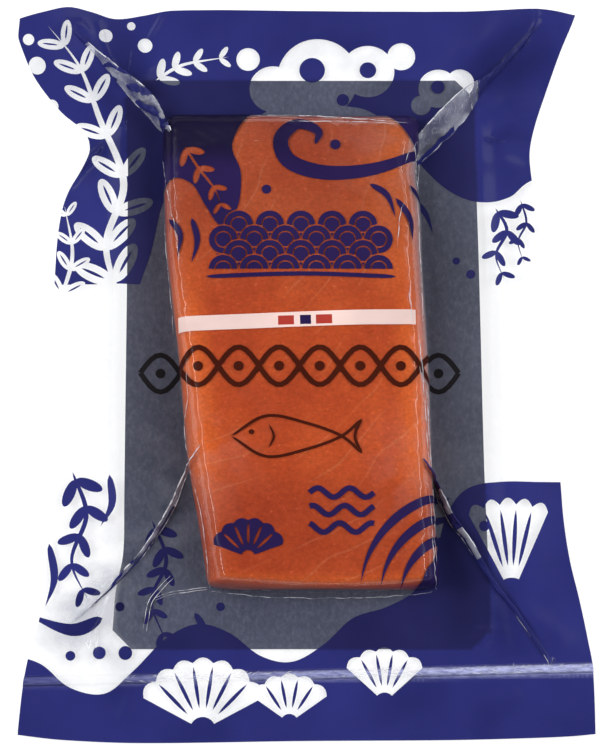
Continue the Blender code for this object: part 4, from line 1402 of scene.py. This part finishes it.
def grown(name, lines, tree, values):
    """What a node tree makes of some lines, as one plain mesh."""
    points = [tuple(p * MM for p in point) for line in lines for point in line]
    edges, first = [], 0
    for line in lines:
        edges += [(first + i, first + i + 1) for i in range(len(line) - 1)]
        first += len(line)
    mesh = bpy.data.meshes.new(name + "_line")
    mesh.from_pydata(points, edges, [])
    piece = bpy.data.objects.new(name + "_line", mesh)
    bpy.context.scene.collection.objects.link(piece)
    nodes = piece.modifiers.new(tree.name, "NODES")
    nodes.node_group = tree
    set_inputs(nodes, tree, values)
    return freeze(piece, name)


def lip_piece(name, lines, radius, wander, ripple, seed, material):
    """Tubes along some lines."""
    return grown(name, lines, LIP_TREE, {"Radius": radius * MM, "Wander": wander, "Seed": seed,
                                         "Ripple Length": ripple * MM, "Finish": material})


LINE_STEP, LINE_LIFT = 0.7, 0.06


def surface_line(path, seed, aside=0.0, wander=0.22):
    """A crumpled line that lies on the front film."""
    last, length = len(path) - 1, path_length(path)
    t = np.linspace(0, last, max(4, int(length / LINE_STEP)))
    x, y = (curve(t) for curve in path_curves(path))
    dx, dy = np.gradient(x), np.gradient(y)
    size = np.hypot(dx, dy)
    run = t / last * length
    side = aside + wander * waves(run, 0 * run, 5.0, seed)
    x, y = x - dy / size * side, y + dx / size * side
    return np.stack([x, y, film_front(x, y) + LINE_LIFT], 1)


fold_lips = lip_piece("fold_lips", free_edges["clear"], 0.24, 1.0, 3.0, 3, lip_glint_film)
ink_lips = lip_piece("ink_lips", free_edges["ink"], 0.22, 0.8, 3.0, 4, navy_ink)
fold_roots = lip_piece("fold_roots", web_roots, 0.17, 1.4, 2.0, 8, lip_glint_film)
for number in ("backing_and_end_shade", "bead"):
    add_number(ink_lips, number, np.zeros(len(ink_lips.data.vertices)))
print("lips:", len(fold_lips.data.polygons), "faces; roots:", len(fold_roots.data.polygons))

# %% [markdown]
# ## Glints along the fish and in the corners
#
# Where tight film turns over an edge of the fish it gathers into hair-thin ridges, and each ridge
# is drawn as a broken white line, a painted glint. They follow paths that lie on the film, some of
# them as pairs, and the same node tree gives them their body.

# %% Thin bright ridges
FINE_LINES = [
    [(40.2, 70.5), (41.6, 65.1), (42.2, 59.9)], [(36.2, 55.9), (34.3, 49.9), (33.6, 39.3)],
    [(41, 56.4), (41.9, 33.9), (42.7, 11.7)], [(38, 26.3), (37.7, 22.4), (38.6, 13.3)],
    [(41.8, -4), (43.7, -9.8), (44.3, -23.7), (45.3, -38.7)], [(40.5, 10), (42, -2), (42.6, -14)],
    [(43.6, -42.4), (44.7, -50.6), (45.4, -63.9), (46.1, -74.1), (47.2, -78)],
    [(45.6, -44), (46.2, -54), (46, -62), (47, -70)],
    [(-39.7, -4), (-39.3, -12.1), (-40.7, -23.7), (-38.9, -34), (-38.3, -38.7)],
    [(-37.7, -41), (-35.3, -49), (-33.6, -58.2), (-32.4, -68.4), (-31.8, -77.5)],
    [(-48.9, 73.1), (-46.9, 60.6), (-44.6, 50.1), (-42.9, 39.6), (-42.5, 35)],
    [(-48.2, 50), (-46.8, 34.2), (-46.3, 27.6), (-45, 12)],
    [(-18.1, 87.7), (-1.1, 88.4), (12, 87.4), (25, 86.1), (37.4, 84.8)],
    [(-5, 85.1), (18.4, 85.1), (32.7, 84.2)],
    [(40.5, 78.5), (40, 75.4), (40.9, 71.3), (40.9, 67)], [(36.5, 69.9), (37.5, 72.9), (39.7, 75.9)],
    [(38.2, 66), (39.4, 70), (41.2, 74), (41, 79)], [(41.8, 75), (42, 70), (41.4, 65)],
    [(-31, -78.6), (-12, -80.6), (8, -81), (28, -80.6), (46, -79)],
    [(75.2, -87.4), (84.5, -101.2), (86, -104.7), (87.6, -101.5)],
    [(47.4, -41.3), (48.2, -47.6), (51, -52.7)],
]
PAIRED_LINES = [
    ([(-45.1, -73.7), (-48.7, -77.4), (-52.3, -82.3), (-53.5, -87.1), (-54.4, -92.6)], 1.3),
    ([(-51, -81.5), (-46.2, -79.5), (-40.2, -78.6), (-32.8, -77.6)], 0.8),
    ([(41.5, -2), (43.2, -12), (44, -26), (44.9, -37)], 0.9),
]
lines = [surface_line(path, 100 + k) for k, path in enumerate(FINE_LINES)]
for k, (path, apart) in enumerate(PAIRED_LINES):
    lines += [surface_line(path, 140 + k, side * apart / 2, wander=0.1) for side in (-1, 1)]
glints = lip_piece("film_glints", lines, 0.12, 1.3, 2.5, 12, lip_glint_film)
print("glints:", len(lines), "lines,", len(glints.data.polygons), "faces")

# %% [markdown]
# ## Wrinkles of the bottom seal
#
# The bottom seal was pressed between hot ribbed bars, which left a bead full of short slanting
# wrinkles. A second node tree scatters thin slivers of film along a line for them, white in places
# as a painted glint.

# %% A node tree that scatters slivers along a line
def sliver_tree():
    """Geometry Nodes: a line in, thin slivers scattered along it out."""
    tree, given, curve = line_tree(
        "seal_wrinkle_tree", {"Length": 0.001, "Thickness": 0.0001, "Spread": 0.001, "Lean": 0.9},
        {"Count": 100, "Seed": 1}, "Slivers")
    points = add(tree, "GeometryNodeCurveToPoints",
                 {"Curve": curve, "Count": given["Count"]}, mode="COUNT")
    ball = add(tree, "GeometryNodeMeshIcoSphere", {"Radius": 0.5, "Subdivisions": 1})
    size = add(tree, "ShaderNodeCombineXYZ",
               {"X": given["Length"], "Y": given["Thickness"], "Z": given["Thickness"]})
    stretch = add(tree, "FunctionNodeRandomValue",
                  {2: 0.5, 3: 1.3, "Seed": given["Seed"]}, data_type="FLOAT")
    scale = add(tree, "ShaderNodeVectorMath", {0: size, "Scale": stretch.outputs[1]}, operation="SCALE")
    swing = add(tree, "FunctionNodeRandomValue", {2: -0.35, 3: 0.35}, data_type="FLOAT")
    lean = add(tree, "ShaderNodeMath", {0: swing.outputs[1], 1: given["Lean"]}, operation="ADD")
    turn = add(tree, "ShaderNodeCombineXYZ", {"Z": lean})
    aside = add(tree, "FunctionNodeRandomValue", {2: -0.5, 3: 0.5}, data_type="FLOAT")
    across = add(tree, "ShaderNodeMath",
                 {0: aside.outputs[1], 1: given["Spread"]}, operation="MULTIPLY")
    shift = add(tree, "ShaderNodeCombineXYZ", {"Y": across})
    moved = add(tree, "GeometryNodeSetPosition",
                {"Geometry": points.outputs["Points"], "Offset": shift})
    placed = add(tree, "GeometryNodeInstanceOnPoints",
                 {"Points": moved, "Instance": ball, "Rotation": turn, "Scale": scale})
    end_tree(tree, placed, given, "Slivers")
    return tree


seal_x = np.linspace(-62, 101, 140)
seal_y = BEAD_Y + BEAD_SLOPE * seal_x
seal_line = np.stack([seal_x, seal_y, film_front(seal_x, seal_y) - 0.1], 1)
seal_wrinkles = grown("seal_wrinkles", [seal_line], sliver_tree(),
                      {"Length": 2.4 * MM, "Thickness": 0.13 * MM, "Spread": 2.4 * MM, "Lean": 0.12,
                       "Count": 560, "Seed": 5, "Finish": lip_glint_film})
print("seal wrinkles:", len(seal_wrinkles.data.polygons), "faces")

# %% [markdown]
# ## Floor, light and camera
#
# A photographer lays such a pack on a lit sheet of white acrylic and looks down on it. Here the
# acrylic is one large square that glows a little, just under the pack.

# %% Floor
def floor_material():
    """White acrylic, lit from below, with a trace of grain."""
    material, tree, where = new_material("lit_white_acrylic")
    fibre = add(tree, "ShaderNodeTexNoise", {"Scale": 1 / 0.002, "Detail": 3.0, "Vector": where})
    tone = ramp(tree, fibre.outputs["Fac"], [(0.3, grey(0.4)), (0.7, grey(0.44))])
    shader = add(tree, "ShaderNodeBsdfPrincipled",
                 {"Roughness": 0.9, "Specular IOR Level": 0.1, "Emission Color": grey(1),
                  "Emission Strength": 0.76, "Base Color": tone})
    add(tree, "ShaderNodeOutputMaterial", {"Surface": shader})
    return material


FLOOR_Z = -0.15
FLOOR_REACH = 9000
floor_corners = [(x * FLOOR_REACH, y * FLOOR_REACH, FLOOR_Z)
                 for x, y in ((-1, -1), (1, -1), (1, 1), (-1, 1))]
floor = mesh_piece("floor", floor_corners, [(0, 1, 2, 3)], floor_material(), smooth=False)
print("floor at", FLOOR_Z, "mm")

# %% [markdown]
# A large soft light high on each side gives the even daylight of a shop's photo. The film mirrors
# neither of them. Two narrow strips and two small panels do that work, so that the film's edges glint
# in thin lines and its flat faces stay deep in colour.

# %% Lights
def soft_light(name, place, size, watts, mirrored):
    """A rectangular light that faces the pack, seen in mirror images or not."""
    lamp = bpy.data.lights.new(name, "AREA")
    lamp.shape = "RECTANGLE"
    lamp.size, lamp.size_y = size
    lamp.energy = watts
    light = bpy.data.objects.new(name, lamp)
    light.location = place
    light.rotation_euler = (Vector((0, 0, 0)) - Vector(place)).to_track_quat("-Z", "Y").to_euler()
    light.visible_glossy = mirrored
    bpy.context.scene.collection.objects.link(light)


LIGHTS = [("left_softbox", (-0.62, 0.02, 0.80), (0.45, 0.6), 5.2, False),
          ("right_softbox", (0.62, 0.02, 0.80), (0.45, 0.6), 4.5, False),
          ("left_strip", (-0.95, 0.05, 0.75), (0.9, 0.14), 1.9, True),
          ("right_strip", (0.95, 0.05, 0.75), (0.9, 0.14), 1.9, True),
          ("upper_left_panel", (-0.52, 0.56, 0.78), (0.42, 0.42), 0.85, True),
          ("upper_right_panel", (0.55, 0.5, 0.78), (0.42, 0.42), 0.6, True)]
for light in LIGHTS:
    soft_light(*light)
print("lights:", ", ".join(light[0] for light in LIGHTS))

# %% [markdown]
# The room is a plain grey, darkest straight overhead, so a flat face of film mirrors little and every
# shallow wave of it shows. World colour by direction is a ramp over the height of the ray.

# %% Room
world = bpy.data.worlds.new("studio")
world.use_nodes = True
sky = world.node_tree
direction = add(sky, "ShaderNodeTexCoord").outputs["Generated"]
height = add(sky, "ShaderNodeSeparateXYZ", {0: direction})
stops = [(0.0, 0.12), (0.6, 0.18), (0.8, 0.17), (0.93, 0.08), (0.99, 0.03)]
shade = ramp(sky, height.outputs["Z"], [(position, grey(value)) for position, value in stops])
sky.links.new(shade, sky.nodes["Background"].inputs["Color"])
bpy.context.scene.world = world
bpy.context.scene.view_settings.view_transform = "Standard"

# %% [markdown]
# The camera looks down from 0.9 m, 8 degrees off the vertical on the side of the pack's lower end.
# Its focal length is kept in pixels of the picture's width, as it was measured.

# %% Camera
CAMERA_DISTANCE, CAMERA_TILT = 0.9, math.radians(8)
FOCAL_PIXELS, IMAGE_WIDTH, SENSOR_WIDTH = 2547, 607, 36.0
AIM = Vector((0.0009, -0.0026, 0.0))
camera_data = bpy.data.cameras.new("camera")
camera_data.sensor_fit = "HORIZONTAL"
camera_data.sensor_width = SENSOR_WIDTH
camera_data.lens = SENSOR_WIDTH * FOCAL_PIXELS / IMAGE_WIDTH
camera = bpy.data.objects.new("camera", camera_data)
camera.location = AIM + CAMERA_DISTANCE * Vector((0, -math.sin(CAMERA_TILT), math.cos(CAMERA_TILT)))
camera.rotation_euler = (CAMERA_TILT, 0, 0)
bpy.context.scene.collection.objects.link(camera)
bpy.context.scene.camera = camera
print("lens:", round(camera_data.lens, 1), "mm")

# %% [markdown]
# ## The pieces on the body
#
# Every piece rides on the one body and stands in for the solid.

# %% Ride and replace
pieces = list(front.values()) + [back_film, board, salmon, fold_lips, ink_lips, fold_roots, glints,
                                 seal_wrinkles] + webs
for piece in pieces:
    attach(piece, "root")
    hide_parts("sealed_pack")
